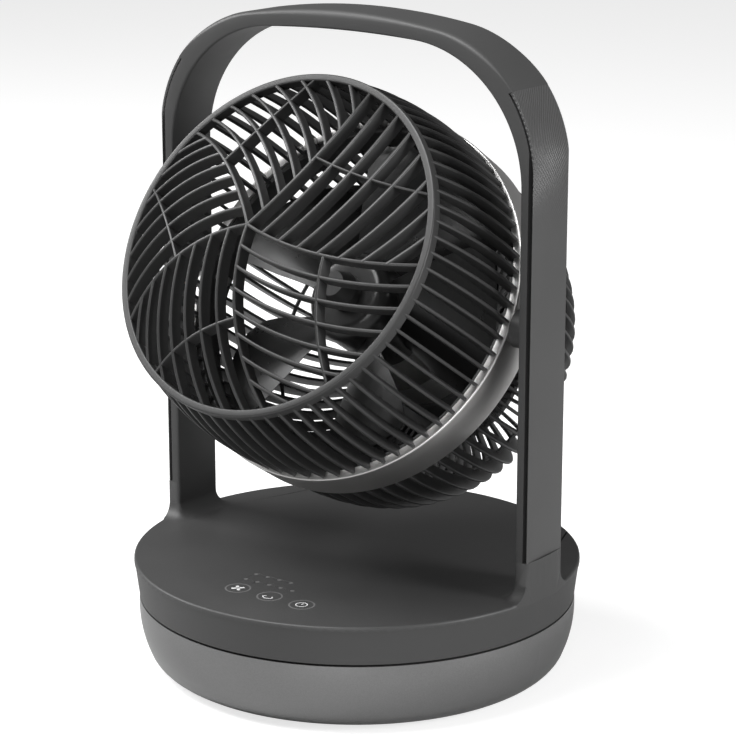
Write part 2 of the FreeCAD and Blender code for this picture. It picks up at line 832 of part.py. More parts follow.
def handle_frame():
    """Structural channel of the hoop, open outwards, solid at its feet and round the pivots."""
    depth = size.hoop_width
    body_inset = size.strip_thickness + size.strip_groove
    full = arch_band("frame_full", body_inset, as_length(0), depth, size.stub_top)
    ledge_depth = depth - size.ledge_width * 2
    ledge = arch_band("frame_ledge", size.strip_thickness, as_length(3), ledge_depth, size.stub_top)
    hollow_depth = ledge_depth - size.hoop_wall * 2
    hollow_low = size.stub_top + 16
    hollow = arch_band("frame_hollow", as_length(-5), size.hoop_wall, hollow_depth, hollow_low)
    solid = fuse("frame_solid", [full, ledge])
    channel = below_seam("frame_channel", cut("frame_channel_whole", solid, [hollow]), strip_top)
    crown_band = arch_band("crown_band", as_length(0), as_length(0), depth, size.stub_top)
    crown_hollow = arch_band("crown_hollow", size.hoop_wall, size.hoop_wall, hollow_depth, hollow_low)
    crown = above_seam("frame_crown", cut("crown_shell", crown_band, [crown_hollow]), strip_top)
    pieces = [channel, crown]
    holes = []
    boss_length = size.leg_thickness - body_inset
    for side, mark in ((-1, "left"), (1, "right")):
        start = leg_inner * side if side > 0 else -leg_inner - boss_length
        pieces.append(cylinder("pivot_boss_" + mark, size.pivot_boss_radius, boss_length, start, 0,
                               size.pivot_height, "x"))
        bore_start = start - 1
        holes.append(cylinder("bush_hole_" + mark, size.bush_radius, boss_length + 2, bore_start, 0,
                              size.pivot_height, "x"))
        sink_start = (bush_end if side > 0 else -bush_end - 10)
        holes.append(cylinder("washer_sink_" + mark, washer_radius + 0.6, 10, sink_start, 0,
                              size.pivot_height, "x"))
    for name, x, y in leg_screw_places():
        holes.append(cylinder("frame_hole_" + name, size.leg_screw_radius,
                              deck_under + size.leg_screw_length - size.stub_top, x, y, size.stub_top))
    whole = cut("frame_cut", fuse("frame_fused", pieces), holes)
    sub_part("handle_frame", in_plan("frame_in_plan", whole))


def handle_strips():
    """Outer trim strip that closes the channel of each leg, with a tongue that locates in it."""
    depth = size.hoop_width - size.strip_inset * 2
    skin = arch_band("strip_skin", as_length(0), None, depth, size.stub_top)
    tongue_depth = size.hoop_width - size.ledge_width * 2 - size.hoop_wall * 2 - 0.4
    tongue = arch_band("strip_tongue", size.strip_thickness * 0.9, None, tongue_depth, size.stub_top + 20)
    whole = fuse("strip_fused", [skin, tongue])
    span = size.base_radius + 10
    for side, mark in ((-1, "left"), (1, "right")):
        near = size.base_radius - size.strip_thickness - 10
        start = near if side > 0 else -near - 10
        recess = cylinder("strip_recess_" + mark, size.pivot_boss_radius + 0.3, 10, start, 0,
                          size.pivot_height, "x")
        room = block("strip_room_" + mark, span, size.hoop_width + 10, strip_top - size.strip_seam,
                     span / 2 * side, 0, 0)
        half = doc.addObject("Part::Common", "strip_half_" + mark)
        half.Base = cut("strip_cut_" + mark, whole, [recess])
        half.Tool = room
        sub_part("handle_strip_" + mark, in_plan("strip_plan_" + mark, half))


def handle_screws():
    screws = []
    for name, x, y in leg_screw_places():
        shank = cylinder("leg_screw_" + name, size.leg_screw_radius, size.leg_screw_length, x, y, deck_under)
        head = cylinder("leg_screw_head_" + name, size.leg_screw_radius * 1.5, size.screw_head_height, x, y,
                        deck_under - size.screw_head_height)
        screws.append(fuse("leg_screw_whole_" + name, [shank, head]))
    sub_part("handle_screws", fuse("handle_screw_group", screws))


# ---------------------------------------------------------------- tilt pivots

bush_start = leg_inner - size.bush_flange_thickness
bush_end = leg_inner + 5.0
pin_end = bush_end + size.running_clearance
arm_end = bush_start - size.running_clearance - size.pivot_washer_thickness
washer_radius = size.bush_radius + 0.8


def on_side(side, near, far):
    """Start and length along X of what runs between two distances from the middle."""
    return (near if side > 0 else -far), far - near


def pivot_bushes():
    for side, mark in ((-1, "left"), (1, "right")):
        start, length = on_side(side, bush_start, bush_end)
        sleeve = cylinder("bush_sleeve_" + mark, size.bush_radius, length, start, 0, size.pivot_height, "x")
        start, length = on_side(side, bush_start, leg_inner)
        flange = cylinder("bush_flange_" + mark, size.bush_flange_radius, length, start, 0,
                          size.pivot_height, "x")
        start, length = on_side(side, bush_start, bush_end)
        bore = cylinder("bush_bore_" + mark, size.pivot_pin_radius + size.running_clearance, length, start, 0,
                        size.pivot_height, "x")
        sub_part("pivot_bush_" + mark, cut("bush_" + mark, fuse("bush_body_" + mark, [sleeve, flange]), [bore]))


def pivot_arms():
    """Arm on each side of the band: saddle foot, round arm and the pin that turns in the bush."""
    for side, mark in ((-1, "left"), (1, "right")):
        start, length = on_side(side, size.band_radius - 3, arm_end)
        arm = cylinder("arm_body_" + mark, size.arm_radius, length, start, 0, 0, "x")
        start, length = on_side(side, arm_end - 1, pin_end)
        pin = cylinder("arm_pin_" + mark, size.pivot_pin_radius, length, start, 0, 0, "x")
        band = cylinder("arm_saddle_" + mark, size.band_radius, 60, 0, 0, -30)
        holes = [band]
        for name, z in arm_screw_places():
            start, length = on_side(side, size.band_radius - 1, arm_screw_end)
            holes.append(cylinder("arm_hole_%s_%s" % (mark, name), size.leg_screw_radius, length, start, 0, z,
                                  "x"))
        start, length = on_side(side, pin_end - size.pivot_screw_length, pin_end + 1)
        holes.append(cylinder("pin_hole_" + mark, size.pivot_screw_radius, length, start, 0, 0, "x"))
        arm_cut = cut("arm_cut_" + mark, fuse("arm_fused_" + mark, [arm, pin]), holes)
        sub_part("pivot_arm_" + mark, in_head(arm_cut))


arm_screw_end = size.band_radius + 6.0


def arm_screw_places():
    return (("low", -6.5), ("high", 1.0))


def arm_screws():
    """Screws from inside the grilles' lips, through lip and band, into the two arms."""
    screws = []
    seat = size.lip_inner - 0.1
    for side, mark in ((-1, "left"), (1, "right")):
        for name, z in arm_screw_places():
            start, length = on_side(side, seat, arm_screw_end)
            shank = cylinder("arm_screw_%s_%s" % (mark, name), size.leg_screw_radius, length, start, 0, z, "x")
            start, length = on_side(side, seat - 1.6, seat)
            head = cylinder("arm_screw_head_%s_%s" % (mark, name), 2.6, length, start, 0, z, "x")
            screws.append(fuse("arm_screw_whole_%s_%s" % (mark, name), [shank, head]))
    sub_part("arm_screws", in_head(fuse("arm_screw_group", screws)))


def pivot_washers():
    """Friction washers that hold the tilt, one on each pin between arm and bush."""
    washers = []
    for side, mark in ((-1, "left"), (1, "right")):
        start, length = on_side(side, arm_end, arm_end + size.pivot_washer_thickness)
        disc = cylinder("washer_disc_" + mark, size.bush_flange_radius, length, start, 0, 0, "x")
        bore = cylinder("washer_bore_" + mark, size.pivot_pin_radius, length, start, 0, 0, "x")
        washers.append(cut("washer_" + mark, disc, [bore]))
    sub_part("pivot_washers", in_head(fuse("washer_group", washers)))


def pivot_screws():
    """Screw and broad washer in the end of each pin, which keep the bush on it."""
    screws = []
    for side, mark in ((-1, "left"), (1, "right")):
        start, length = on_side(side, pin_end, pin_end + 0.6)
        disc = cylinder("pivot_disc_" + mark, washer_radius, length, start, 0, 0, "x")
        start, length = on_side(side, pin_end + 0.6, pin_end + 1.4)
        head = cylinder("pivot_head_" + mark, 4, length, start, 0, 0, "x")
        start, length = on_side(side, pin_end - size.pivot_screw_length, pin_end + 0.6)
        shank = cylinder("pivot_shank_" + mark, size.pivot_screw_radius, length, start, 0, 0, "x")
        screws.append(fuse("pivot_screw_" + mark, [disc, head, shank]))
    sub_part("pivot_screws", in_head(fuse("pivot_screw_group", screws)))


# ---------------------------------------------------------------- head: grilles and band

def trim_band():
    """Bright band round the widest part of the head, with a narrow flange at its front edge."""
    inner = size.band_radius - size.band_wall
    band = turned("band_ring", [
        (inner, -size.band_rear),
        (size.band_radius - 0.5, -size.band_rear),
        (size.band_radius, -size.band_rear + 0.8),
        (size.band_radius, size.band_front - 0.8),
        (size.band_radius - 0.5, size.band_front),
        (size.band_flange_radius, size.band_front),
        (size.band_flange_radius, size.band_front - size.band_flange),
        (inner, size.band_front - size.band_flange),
    ])
    holes = []
    for side, mark in ((-1, "left"), (1, "right")):
        for name, z in arm_screw_places():
            start, length = on_side(side, inner - 2, size.band_radius + 1)
            holes.append(cylinder("band_hole_%s_%s" % (mark, name), size.leg_screw_radius, length, start, 0, z,
                                  "x"))
    sub_part("trim_band", in_head(cut("band_cut", band, holes)))


def revolved(points):
    """Solid of revolution about Z from (radius, height) points in plain numbers."""
    corners = [Vector(radius, 0, height) for radius, height in points]
    face = Part.Face(Part.makePolygon(corners + corners[:1]))
    return face.revolve(Vector(0, 0, 0), Vector(0, 0, 1), 360)


def annular_band(centre, radius, width, start, end):
    """Flat band of even width along an arc."""
    up = Vector(0, 0, 1)
    outer = Part.makeCircle(radius + width / 2, centre, up, start, end)
    inner = Part.makeCircle(radius - width / 2, centre, up, start, end)
    first = Part.makeLine(outer.Vertexes[0].Point, inner.Vertexes[0].Point)
    last = Part.makeLine(outer.Vertexes[-1].Point, inner.Vertexes[-1].Point)
    return Part.Face(Part.Wire(Part.__sortEdges__([outer, last, inner, first])))


def dome_ribs():
    """Swirl of ribs: each sector is filled with ribs parallel to its own main rib."""
    reach = size.front_ring_inner.value
    sweep = math.radians(size.rib_sweep.value)
    radius = reach / (2 * math.sin(sweep))
    width = size.rib_width.value
    sectors = int(size.rib_sectors.value)
    sector = 360.0 / sectors

    def main_point(distance, turn):
        angle = math.radians(turn) - sweep + math.asin(distance / (2 * radius))
        return Vector(distance * math.cos(angle), distance * math.sin(angle), 0)

    bands = []
    arc_turn = 2 * math.degrees(sweep)
    for index in range(sectors):
        heading = sector * (index + 1) - math.degrees(sweep)
        side = math.radians(heading + 90)
        centre = Vector(radius * math.cos(side), radius * math.sin(side), 0)
        start = heading - 90
        distance = 0.0
        while distance < reach - size.rib_spacing.value / 2:
            origin = main_point(distance, sector * index)
            end = start + arc_turn
            bands.append(annular_band(centre + origin, radius, width, start, end))
            distance += size.rib_spacing.value
        bands.append(cross_rib(main_point(reach * 0.53, sector * (index + 1)), sector * index, reach, width))
    plan = bands[0].multiFuse(bands[1:])
    limit = Part.Face(Part.Wire(Part.makeCircle(reach + 1.0)))
    plan = plan.common(limit).removeSplitter()
    height = size.front_ring_offset.value + size.dome_rise.value + 10
    columns = [face.extrude(Vector(0, 0, height)) for face in plan.Faces]
    return [column.common(dome_shell()) for column in columns]


def cross_rib(start, turn, reach, width):
    """Thinner rib that ties a sector's ribs together, from its main rib to the ring."""
    angle = math.radians(turn + 24)
    end = Vector((reach + 2) * math.cos(angle), (reach + 2) * math.sin(angle), 0)
    chord = end - start
    bow = chord.Length * 0.05
    radius = (chord.Length ** 2 / 4 + bow ** 2) / (2 * bow)
    side = Vector(-chord.y, chord.x, 0).normalize()
    centre = (start + end) / 2 + side * (radius - bow)
    first = math.degrees(math.atan2(start.y - centre.y, start.x - centre.x))
    last = math.degrees(math.atan2(end.y - centre.y, end.x - centre.x))
    if last < first:
        last += 360
    return annular_band(centre, radius, width * 0.75, first, last)


def dome_shell():
    """Domed layer that the front ribs are cut from."""
    rim = size.front_ring_radius.value
    rise = size.dome_rise.value
    base = size.front_ring_offset.value
    inner = size.front_ring_inner.value
    radius = (inner ** 2 + rise ** 2) / (2 * rise)

    def height(distance):
        return base + rise - radius + math.sqrt(radius ** 2 - distance ** 2)

    def cap(drop):
        ends = [Vector(0, 0, height(0) - drop), Vector(rim, 0, height(rim) - drop)]
        middle = Vector(rim / 2, 0, height(rim / 2) - drop)
        return Part.Arc(ends[0], middle, ends[1]).toShape(), ends

    outer, outer_ends = cap(0)
    inner_cap, inner_ends = cap(size.rib_depth.value)
    edges = [outer, Part.makeLine(outer_ends[1], inner_ends[1]), inner_cap,
             Part.makeLine(inner_ends[0], outer_ends[0])]
    face = Part.Face(Part.Wire(Part.__sortEdges__(edges)))
    return face.revolve(Vector(0, 0, 0), Vector(0, 0, 1), 360)


def front_bar():
    """One side bar, a deep thin fin with a gently bulging outer edge."""
    depth = size.bar_depth.value
    low = (size.bar_root_radius.value, 0.0)
    high = (size.front_ring_radius.value - 0.6, size.front_ring_offset.value - 1.0)
    bulge = size.bar_bulge.value
    middle = ((low[0] + high[0]) / 2 + bulge, (low[1] + high[1]) / 2)
    outer = Part.Arc(*[Vector(r, 0, z) for r, z in (low, middle, high)]).toShape()
    inner = Part.Arc(*[Vector(r - depth, 0, z) for r, z in (low, middle, high)]).toShape()
    foot = Part.makeLine(Vector(low[0], 0, low[1]), Vector(low[0] - depth, 0, low[1]))
    head = Part.makeLine(Vector(high[0], 0, high[1]), Vector(high[0] - depth, 0, high[1]))
    face = Part.Face(Part.Wire(Part.__sortEdges__([outer, head, inner, foot])))
    thickness = size.bar_thickness.value
    return face.extrude(Vector(0, thickness, 0)).translated(Vector(0, -thickness / 2, 0))


def rear_edge(radius_in, length_in):
    """Rounded rear outline from the band to the flat back, set in by two amounts."""
    wide = size.bar_root_radius.value - radius_in
    flat = size.rear_flat_radius.value - 4.0
    start = -size.band_rear.value
    depth = size.rear_length.value - size.band_rear.value - length_in
    power = size.rear_power.value
    steps = 12
    points = []
    for step in range(steps + 1):
        share = math.sin(math.pi / 2 * step / steps)
        swell = (1 - share ** power) ** (1 / power)
        points.append(Vector(flat + (wide - flat) * swell, 0, start - depth * share))
    curve = Part.BSplineCurve()
    curve.interpolate(points)
    return curve.toShape(), points


def rear_bar():
    """One rear bar, which follows the rounded back from the band to the motor's plate."""
    depth = size.rear_bar_depth.value
    outer, outer_points = rear_edge(0.0, 0.0)
    inner, inner_points = rear_edge(depth, depth)
    foot_z = -size.lip_joint.value - 1.0
    top_outer = Vector(outer_points[0].x, 0, foot_z)
    top_inner = Vector(inner_points[0].x, 0, foot_z)
    edges = [outer, Part.makeLine(outer_points[-1], inner_points[-1]), inner,
             Part.makeLine(inner_points[0], top_inner), Part.makeLine(top_inner, top_outer),
             Part.makeLine(top_outer, outer_points[0])]
    face = Part.Face(Part.Wire(Part.__sortEdges__(edges)))
    thickness = size.bar_thickness.value - 0.2
    return face.extrude(Vector(0, thickness, 0)).translated(Vector(0, -thickness / 2, 0))


def turned_copies(solid, count):
    axis = Vector(0, 0, 1)
    return [solid.rotated(Vector(0, 0, 0), axis, 360.0 * index / count) for index in range(count)]


def lip_clear():
    """Radius inside the band, less the clearance that the lips need."""
    return size.band_radius.value - size.band_wall.value - 0.1


def screw_tools(low, high):
    """Holes through a lip: the axial grille screws and the cross screws of the arms."""
    radius = size.leg_screw_radius.value
    tools = []
    for x, y in grille_screw_places():
        tools.append(Part.makeCylinder(radius, high - low, Vector(x, y, low)))
    for name, z in arm_screw_places():
        if low < z < high:
            reach = size.band_radius.value * 2
            tools.append(Part.makeCylinder(radius, reach, Vector(-reach / 2, 0, z), Vector(1, 0, 0)))
    return tools


def grille_screw_places():
    """Five screws on the lip circle, each midway between two bars."""
    circle = (size.lip_inner.value + lip_clear()) / 2
    pitch = 360.0 / size.bar_count.value
    step = int(size.bar_count.value) // 5
    places = []
    for index in range(5):
        angle = math.radians(pitch * (step * index + 3.5))
        places.append((circle * math.cos(angle), circle * math.sin(angle)))
    return places


def front_grille():
    """Front half of the ball: domed swirl, front ring, side bars and the lip inside the band."""
    ring_depth = size.front_ring_depth.value
    outer = size.front_ring_radius.value
    inner = size.front_ring_inner.value
    face = size.front_ring_offset.value
    ease = 1.1
    ring = revolved([(inner, face - ring_depth), (outer, face - ring_depth), (outer, face - ease),
                     (outer - ease, face), (inner + ease, face), (inner, face - ease)])
    lip_top = size.band_front.value - size.band_flange.value - 0.1
    lip = revolved([(size.lip_inner.value, -size.lip_joint.value), (lip_clear(), -size.lip_joint.value),
                    (lip_clear(), lip_top), (size.lip_inner.value, lip_top)])
    bar_room = revolved([(0, size.band_front.value - size.band_flange.value - 0.1),
                         (size.band_flange_radius.value - 0.1,
                          size.band_front.value - size.band_flange.value - 0.1),
                         (size.band_flange_radius.value - 0.1, size.band_front.value + 0.05),
                         (size.band_radius.value + 4, size.band_front.value + 0.05),
                         (size.band_radius.value + 4, size.front_ring_offset.value + 5),
                         (0, size.front_ring_offset.value + 5)])
    bar = front_bar().common(bar_room)
    bars = turned_copies(bar, int(size.bar_count.value))
    whole = ring.multiFuse([lip] + bars + dome_ribs())
    holes = screw_tools(-size.lip_joint.value, screw_tip())
    sub_part("front_grille", in_head(feature("front_grille_shape", whole.cut(holes).Solids[0])))


def screw_tip():
    return size.band_front.value - 5.0


def rear_grille():
    """Rear half of the ball: bars, two stiffening hoops, lip and the ring round the back plate."""
    lip_low = -size.band_rear.value + 2.0
    lip = revolved([(size.lip_inner.value, lip_low), (lip_clear(), lip_low),
                    (lip_clear(), -size.lip_joint.value), (size.lip_inner.value, -size.lip_joint.value)])
    back = -size.rear_length.value
    plate = size.rear_flat_radius.value
    ring = revolved([(plate, back), (plate + 4, back + 0.4), (plate + 4, back + 5.0), (plate, back + 5.0)])
    offset = size.hoop_ring_offset.value
    share = (offset - size.band_rear.value) / (size.rear_length.value - size.band_rear.value)
    swell = (1 - share ** size.rear_power.value) ** (1 / size.rear_power.value)
    flat = plate - 4.0
    middle = flat + (size.bar_root_radius.value - flat) * swell - size.rear_bar_depth.value + 0.8
    hoop = revolved([(middle - 1.4, -offset - 1.2), (middle, -offset - 1.2),
                     (middle, -offset + 1.2), (middle - 1.4, -offset + 1.2)])
    bars = turned_copies(rear_bar(), int(size.bar_count.value))
    keep = revolved([(plate, back - 1), (size.band_radius.value, back - 1),
                     (size.band_radius.value, -size.band_rear.value),
                     (lip_clear(), -size.band_rear.value), (lip_clear(), -size.lip_joint.value),
                     (plate, -size.lip_joint.value)])
    whole = ring.multiFuse([lip, hoop] + bars).common(keep)
    holes = screw_tools(lip_low, -size.lip_joint.value)
    sub_part("rear_grille", in_head(feature("rear_grille_shape", whole.cut(holes).Solids[0])))


def grille_screws():
    lip_low = -size.band_rear.value + 2.0
    screws = []
    for x, y in grille_screw_places():
        shank = Part.makeCylinder(size.leg_screw_radius.value, screw_tip() - lip_low, Vector(x, y, lip_low))
        head = Part.makeCylinder(2.4, 1.8, Vector(x, y, lip_low - 1.8))
        screws.append(shank.fuse(head))
    sub_part("grille_screws", in_head(feature("grille_screw_shape", Part.makeCompound(screws))))


# ---------------------------------------------------------------- head: motor

back_face = -size.rear_length
plate_front = back_face + size.mount_plate_thickness
housing_front = -size.fan_motor_front


def motor_mount():
    """Round back plate with the sleeve that grips the motor."""
    sleeve_top = plate_front + size.mount_sleeve_length
    sub_part("motor_mount", in_head(turned("mount_plate", [
        (0, back_face),
        (size.rear_flat_radius - 0.8, back_face),
        (size.rear_flat_radius, back_face + 0.8),
        (size.rear_flat_radius, plate_front),
        (size.fan_motor_radius + 2.2, plate_front),
        (size.fan_motor_radius + 2.2, sleeve_top),
        (size.fan_motor_radius, sleeve_top),
        (size.fan_motor_radius, plate_front),
        (0, plate_front),
    ])))


def motor_housing():
    """Deep-drawn can, its floor on the back plate, with the rear bearing seat."""
    wall = size.fan_motor_wall
    floor = plate_front + wall
    seat = floor + size.bearing_width
    rim = housing_front - wall
    sub_part("motor_housing", in_head(turned("motor_can_shell", [
        (0, plate_front),
        (size.fan_motor_radius, plate_front),
        (size.fan_motor_radius, rim),
        (size.fan_motor_radius - wall, rim),
        (size.fan_motor_radius - wall, floor),
        (size.bearing_radius + wall, floor),
        (size.bearing_radius + wall, seat),
        (size.bearing_radius, seat),
        (size.bearing_radius, floor),
        (0, floor),
    ])))


def motor_cover():
    wall = size.fan_motor_wall
    seat = housing_front - wall - size.bearing_width
    sub_part("motor_cover", in_head(turned("motor_front_cover", [
        (size.shaft_radius + 1.5, housing_front),
        (size.shaft_radius + 1.5, housing_front - wall),
        (size.bearing_radius, housing_front - wall),
        (size.bearing_radius, seat),
        (size.bearing_radius + wall, seat),
        (size.bearing_radius + wall, housing_front - wall),
        (size.fan_motor_radius, housing_front - wall),
        (size.fan_motor_radius, housing_front),
    ])))


def motor_bearings():
    bore = size.shaft_radius + size.running_clearance
    floor = plate_front + size.fan_motor_wall
    rear = tube("rear_bearing", size.bearing_radius, bore, floor, size.bearing_width)
    front = tube("front_bearing", size.bearing_radius, bore,
                 housing_front - size.fan_motor_wall - size.bearing_width, size.bearing_width)
    sub_part("motor_bearings", in_head(fuse("bearing_group", [rear, front])))


stator_rear = plate_front + size.fan_motor_wall + size.bearing_width + 4


def motor_stator():
    """Laminated ring with winding slots cut through it."""
    outer = size.fan_motor_radius - size.fan_motor_wall
    ring = tube("stator_ring", outer, size.stator_inner, stator_rear, size.stator_length)
    slots = []
    slot_circle = (outer + size.stator_inner) / 2
    for index, x, y in around(slot_circle, as_length(9)):
        slots.append(cylinder("stator_slot_%d" % index, 3.2, size.stator_length, x, y, stator_rear))
    sub_part("motor_stator", in_head(cut("stator_cut", ring, slots)))


def motor_shaft():
    start = plate_front + size.fan_motor_wall + 0.3
    sub_part("motor_shaft", in_head(turned("shaft_rod", [
        (0, start),
        (size.shaft_radius, start),
        (size.shaft_radius, size.shaft_front),
        (0, size.shaft_front),
    ])))


def magnet_rotor():
    sub_part("magnet_rotor", in_head(tube("magnet", size.magnet_radius, size.shaft_radius, stator_rear + 1,
                                          size.stator_length - 2)))


def blade_section(radius, chord, pitch, camber):
    """Closed thin section of a blade at one radius, on a plane square to that radius."""
    half = chord / 2
    thin = size.blade_thickness.value / 2
    turn = math.radians(pitch)

    def spot(along, rise):
        around_x = along * math.cos(turn) - rise * math.sin(turn)
        axial = along * math.sin(turn) + rise * math.cos(turn)
        return Vector(radius, around_x, axial)

    upper = Part.Arc(spot(-half, thin * 0.4), spot(0, camber + thin), spot(half, thin * 0.4)).toShape()
    lower = Part.Arc(spot(half, -thin * 0.4), spot(0, camber - thin), spot(-half, -thin * 0.4)).toShape()
    tail = Part.makeLine(spot(half, thin * 0.4), spot(half, -thin * 0.4))
    nose = Part.makeLine(spot(-half, -thin * 0.4), spot(-half, thin * 0.4))
    return Part.Wire([upper, tail, lower, nose])


def fan_blades():
    """Broad twisted blades on a domed hub shell."""
    hub = size.fan_hub_radius.value
    tip = size.blade_tip_radius.value
    rear = -size.fan_hub_rear.value
    front = size.fan_hub_front.value
    wall = 2.0
    bore = size.shaft_radius.value
    cup = revolved([(bore, front - wall), (bore, rear + 6), (bore + 4, rear + 6), (bore + 4, front - wall - 2),
                    (hub - wall, front - wall - 2), (hub - wall, rear), (hub, rear), (hub, front - 5),
                    (hub - 5, front), (bore, front)])
    sections = [
        blade_section(hub - 1.5, 40.0, 50.0, 3.0),
        blade_section(hub + (tip - hub) * 0.4, 58.0, 40.0, 4.5),
        blade_section(hub + (tip - hub) * 0.75, 70.0, 33.0, 5.0),
        blade_section(tip + 4, 76.0, 28.0, 5.0),
    ]
    blade = Part.makeLoft(sections, True).translated(Vector(0, 0, (front + rear) / 2))
    limit = Part.makeCylinder(tip, 200, Vector(0, 0, -100))
    inside = Part.makeCylinder(hub - wall / 2, 200, Vector(0, 0, -100))
    blade = blade.common(limit).cut(inside)
    blades = turned_copies(blade, int(size.blade_count.value))
    sub_part("fan_blades", in_head(feature("fan_blade_shape", cup.multiFuse(blades).Solids[0])))


def blade_nut():
    sub_part("blade_nut", in_head(turned("nut_cap", [
        (size.shaft_radius, size.fan_hub_front),
        (size.shaft_radius + 6, size.fan_hub_front),
        (size.shaft_radius + 6, size.fan_hub_front + 5),
        (size.shaft_radius + 3, size.shaft_front + 2),
        (0, size.shaft_front + 2),
        (0, size.shaft_front),
        (size.shaft_radius, size.shaft_front),
    ])))


base_bowl()
rubber_feet()
power_inlet()
ballast_plate()
base_deck()
base_screws()
swivel_spindle()
spindle_clip()
swivel_gear()
drive_pinion()
thrust_balls()
ball_cage()
top_cover()
upper_floor()
floor_screws()
control_boards()
icon_inlays()
swivel_motor()
handle_frame()
handle_strips()
handle_screws()
pivot_bushes()
pivot_arms()
arm_screws()
pivot_washers()
pivot_screws()
trim_band()
front_grille()
rear_grille()
grille_screws()
motor_mount()
motor_housing()
motor_cover()
motor_bearings()
motor_stator()
motor_shaft()
magnet_rotor()
fan_blades()
blade_nut()
doc.recompute()

for made in doc.Objects:
    if "Invalid" in made.State or "Error" in made.State:
        raise RuntimeError("%s did not build" % made.Label)
for made in sub_parts:
    if made.Shape.isNull() or not made.Shape.isValid() or not made.Shape.Solids:
        raise RuntimeError("%s has no valid solid" % made.Label)

os.makedirs("parts", exist_ok=True)
for made in sub_parts:
    made.Shape.exportStep("parts/%s.step" % made.Label)
print("%d sub-parts written" % len(sub_parts))
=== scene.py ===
import math

import bmesh
import bpy
from mathutils import Matrix, Vector


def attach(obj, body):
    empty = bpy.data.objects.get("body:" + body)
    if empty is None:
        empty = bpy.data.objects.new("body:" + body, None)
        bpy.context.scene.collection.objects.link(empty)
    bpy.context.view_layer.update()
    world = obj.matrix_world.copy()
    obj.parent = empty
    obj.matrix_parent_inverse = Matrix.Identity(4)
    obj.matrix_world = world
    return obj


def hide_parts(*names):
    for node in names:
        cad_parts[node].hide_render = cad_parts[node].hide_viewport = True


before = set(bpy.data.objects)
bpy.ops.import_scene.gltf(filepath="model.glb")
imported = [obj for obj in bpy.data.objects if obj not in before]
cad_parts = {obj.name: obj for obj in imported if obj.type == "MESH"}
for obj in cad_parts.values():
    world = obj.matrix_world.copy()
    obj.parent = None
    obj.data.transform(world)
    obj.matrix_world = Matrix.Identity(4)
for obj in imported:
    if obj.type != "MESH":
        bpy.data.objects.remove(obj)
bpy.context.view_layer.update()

# ---------------------------------------------------------------- the view
# A long lens stands front right of the fan, a little above the deck, and looks slightly down.
eye_turn, eye_rise = math.radians(36.397), math.radians(14.9145)
eye_back = Vector((math.sin(eye_turn) * math.cos(eye_rise), -math.cos(eye_turn) * math.cos(eye_rise),
                   math.sin(eye_rise)))
eye = bpy.data.objects.new("eye", bpy.data.cameras.new("eye"))
eye.data.sensor_width = 36
eye.data.lens = 121.97
eye.data.clip_end = 40
eye.location = (0.775296, -1.041571, 0.509733)
eye.rotation_mode = "QUATERNION"
eye.rotation_quaternion = (-eye_back).to_track_quat("-Z", "Y")
bpy.context.scene.collection.objects.link(eye)
bpy.context.scene.camera = eye
bpy.context.scene.view_settings.view_transform = "Standard"


# ---------------------------------------------------------------- the studio
# White paper floor under a pale sky, with a broad soft box on each side and one overhead.
# The sides are brighter than the front, so the round faces shade off towards the middle.
class Signal:
    """A node's output. Arithmetic on it adds Math nodes to the same board."""

    def __init__(self, board, socket):
        self.board = board
        self.socket = socket

    def maths(self, operation, *operands):
        return self.board.node("ShaderNodeMath", {"operation": operation}, dict(enumerate(operands)))[0]

    def __add__(self, other):
        return self.maths("ADD", self, other)

    def __sub__(self, other):
        return self.maths("SUBTRACT", self, other)

    def __rsub__(self, other):
        return self.maths("SUBTRACT", other, self)

    def __mul__(self, other):
        return self.maths("MULTIPLY", self, other)

    def __truediv__(self, other):
        return self.maths("DIVIDE", self, other)

    __radd__ = __add__
    __rmul__ = __mul__


class Board:
    """A node tree that is filled one node at a time."""

    def __init__(self, tree):
        self.tree = tree
        tree.nodes.clear()

    def node(self, kind, settings, values):
        """Adds a node: its type, its settings, then the values or links of its sockets."""
        made = self.tree.nodes.new(kind)
        for name, value in settings.items():
            if name == "stops":
                for spare in range(len(value) - len(made.color_ramp.elements)):
                    made.color_ramp.elements.new(1)
                for element, (position, colour) in zip(made.color_ramp.elements, value):
                    element.position = position
                    element.color = colour
            else:
                setattr(made, name, value)
        for name, value in values.items():
            if isinstance(value, Signal):
                self.tree.links.new(value.socket, made.inputs[name])
            else:
                made.inputs[name].default_value = value
        outputs = {output.name: Signal(self, output) for output in made.outputs}
        outputs.update((index, Signal(self, output)) for index, output in enumerate(made.outputs))
        return outputs


def new_finish(name):
    """An empty material, its board, and the place on the object that its patterns read."""
    material = bpy.data.materials.new(name)
    material.use_nodes = True
    board = Board(material.node_tree)
    return material, board, board.node("ShaderNodeTexCoord", {}, {})["Object"]


def coat_with(board, values):
    """Ends a material in one surface shader with these sockets."""
    shader = board.node("ShaderNodeBsdfPrincipled", {}, values)["BSDF"]
    board.node("ShaderNodeOutputMaterial", {}, {"Surface": shader})


def blend_of(board, share, first, second):
    """Colour between two others."""
    return board.node("ShaderNodeMix", {"data_type": "RGBA"}, {0: share, 6: first, 7: second})[2]


def noise(board, place, width, detail=2.0):
    """Soft random pattern whose grains are about one width across, in metres."""
    return board.node("ShaderNodeTexNoise", {}, {"Vector": place, "Scale": 1 / width, "Detail": detail})[0]


def relief(board, height, depth, strength=1.0):
    """Surface relief of that depth, in metres."""
    return board.node("ShaderNodeBump", {}, {
        "Strength": strength, "Distance": depth, "Height": height})["Normal"]


def tint(level, warmth=0.0):
    """A grey, slightly warm or cool."""
    return (level * (1 + warmth), level, level * (1 - warmth), 1)


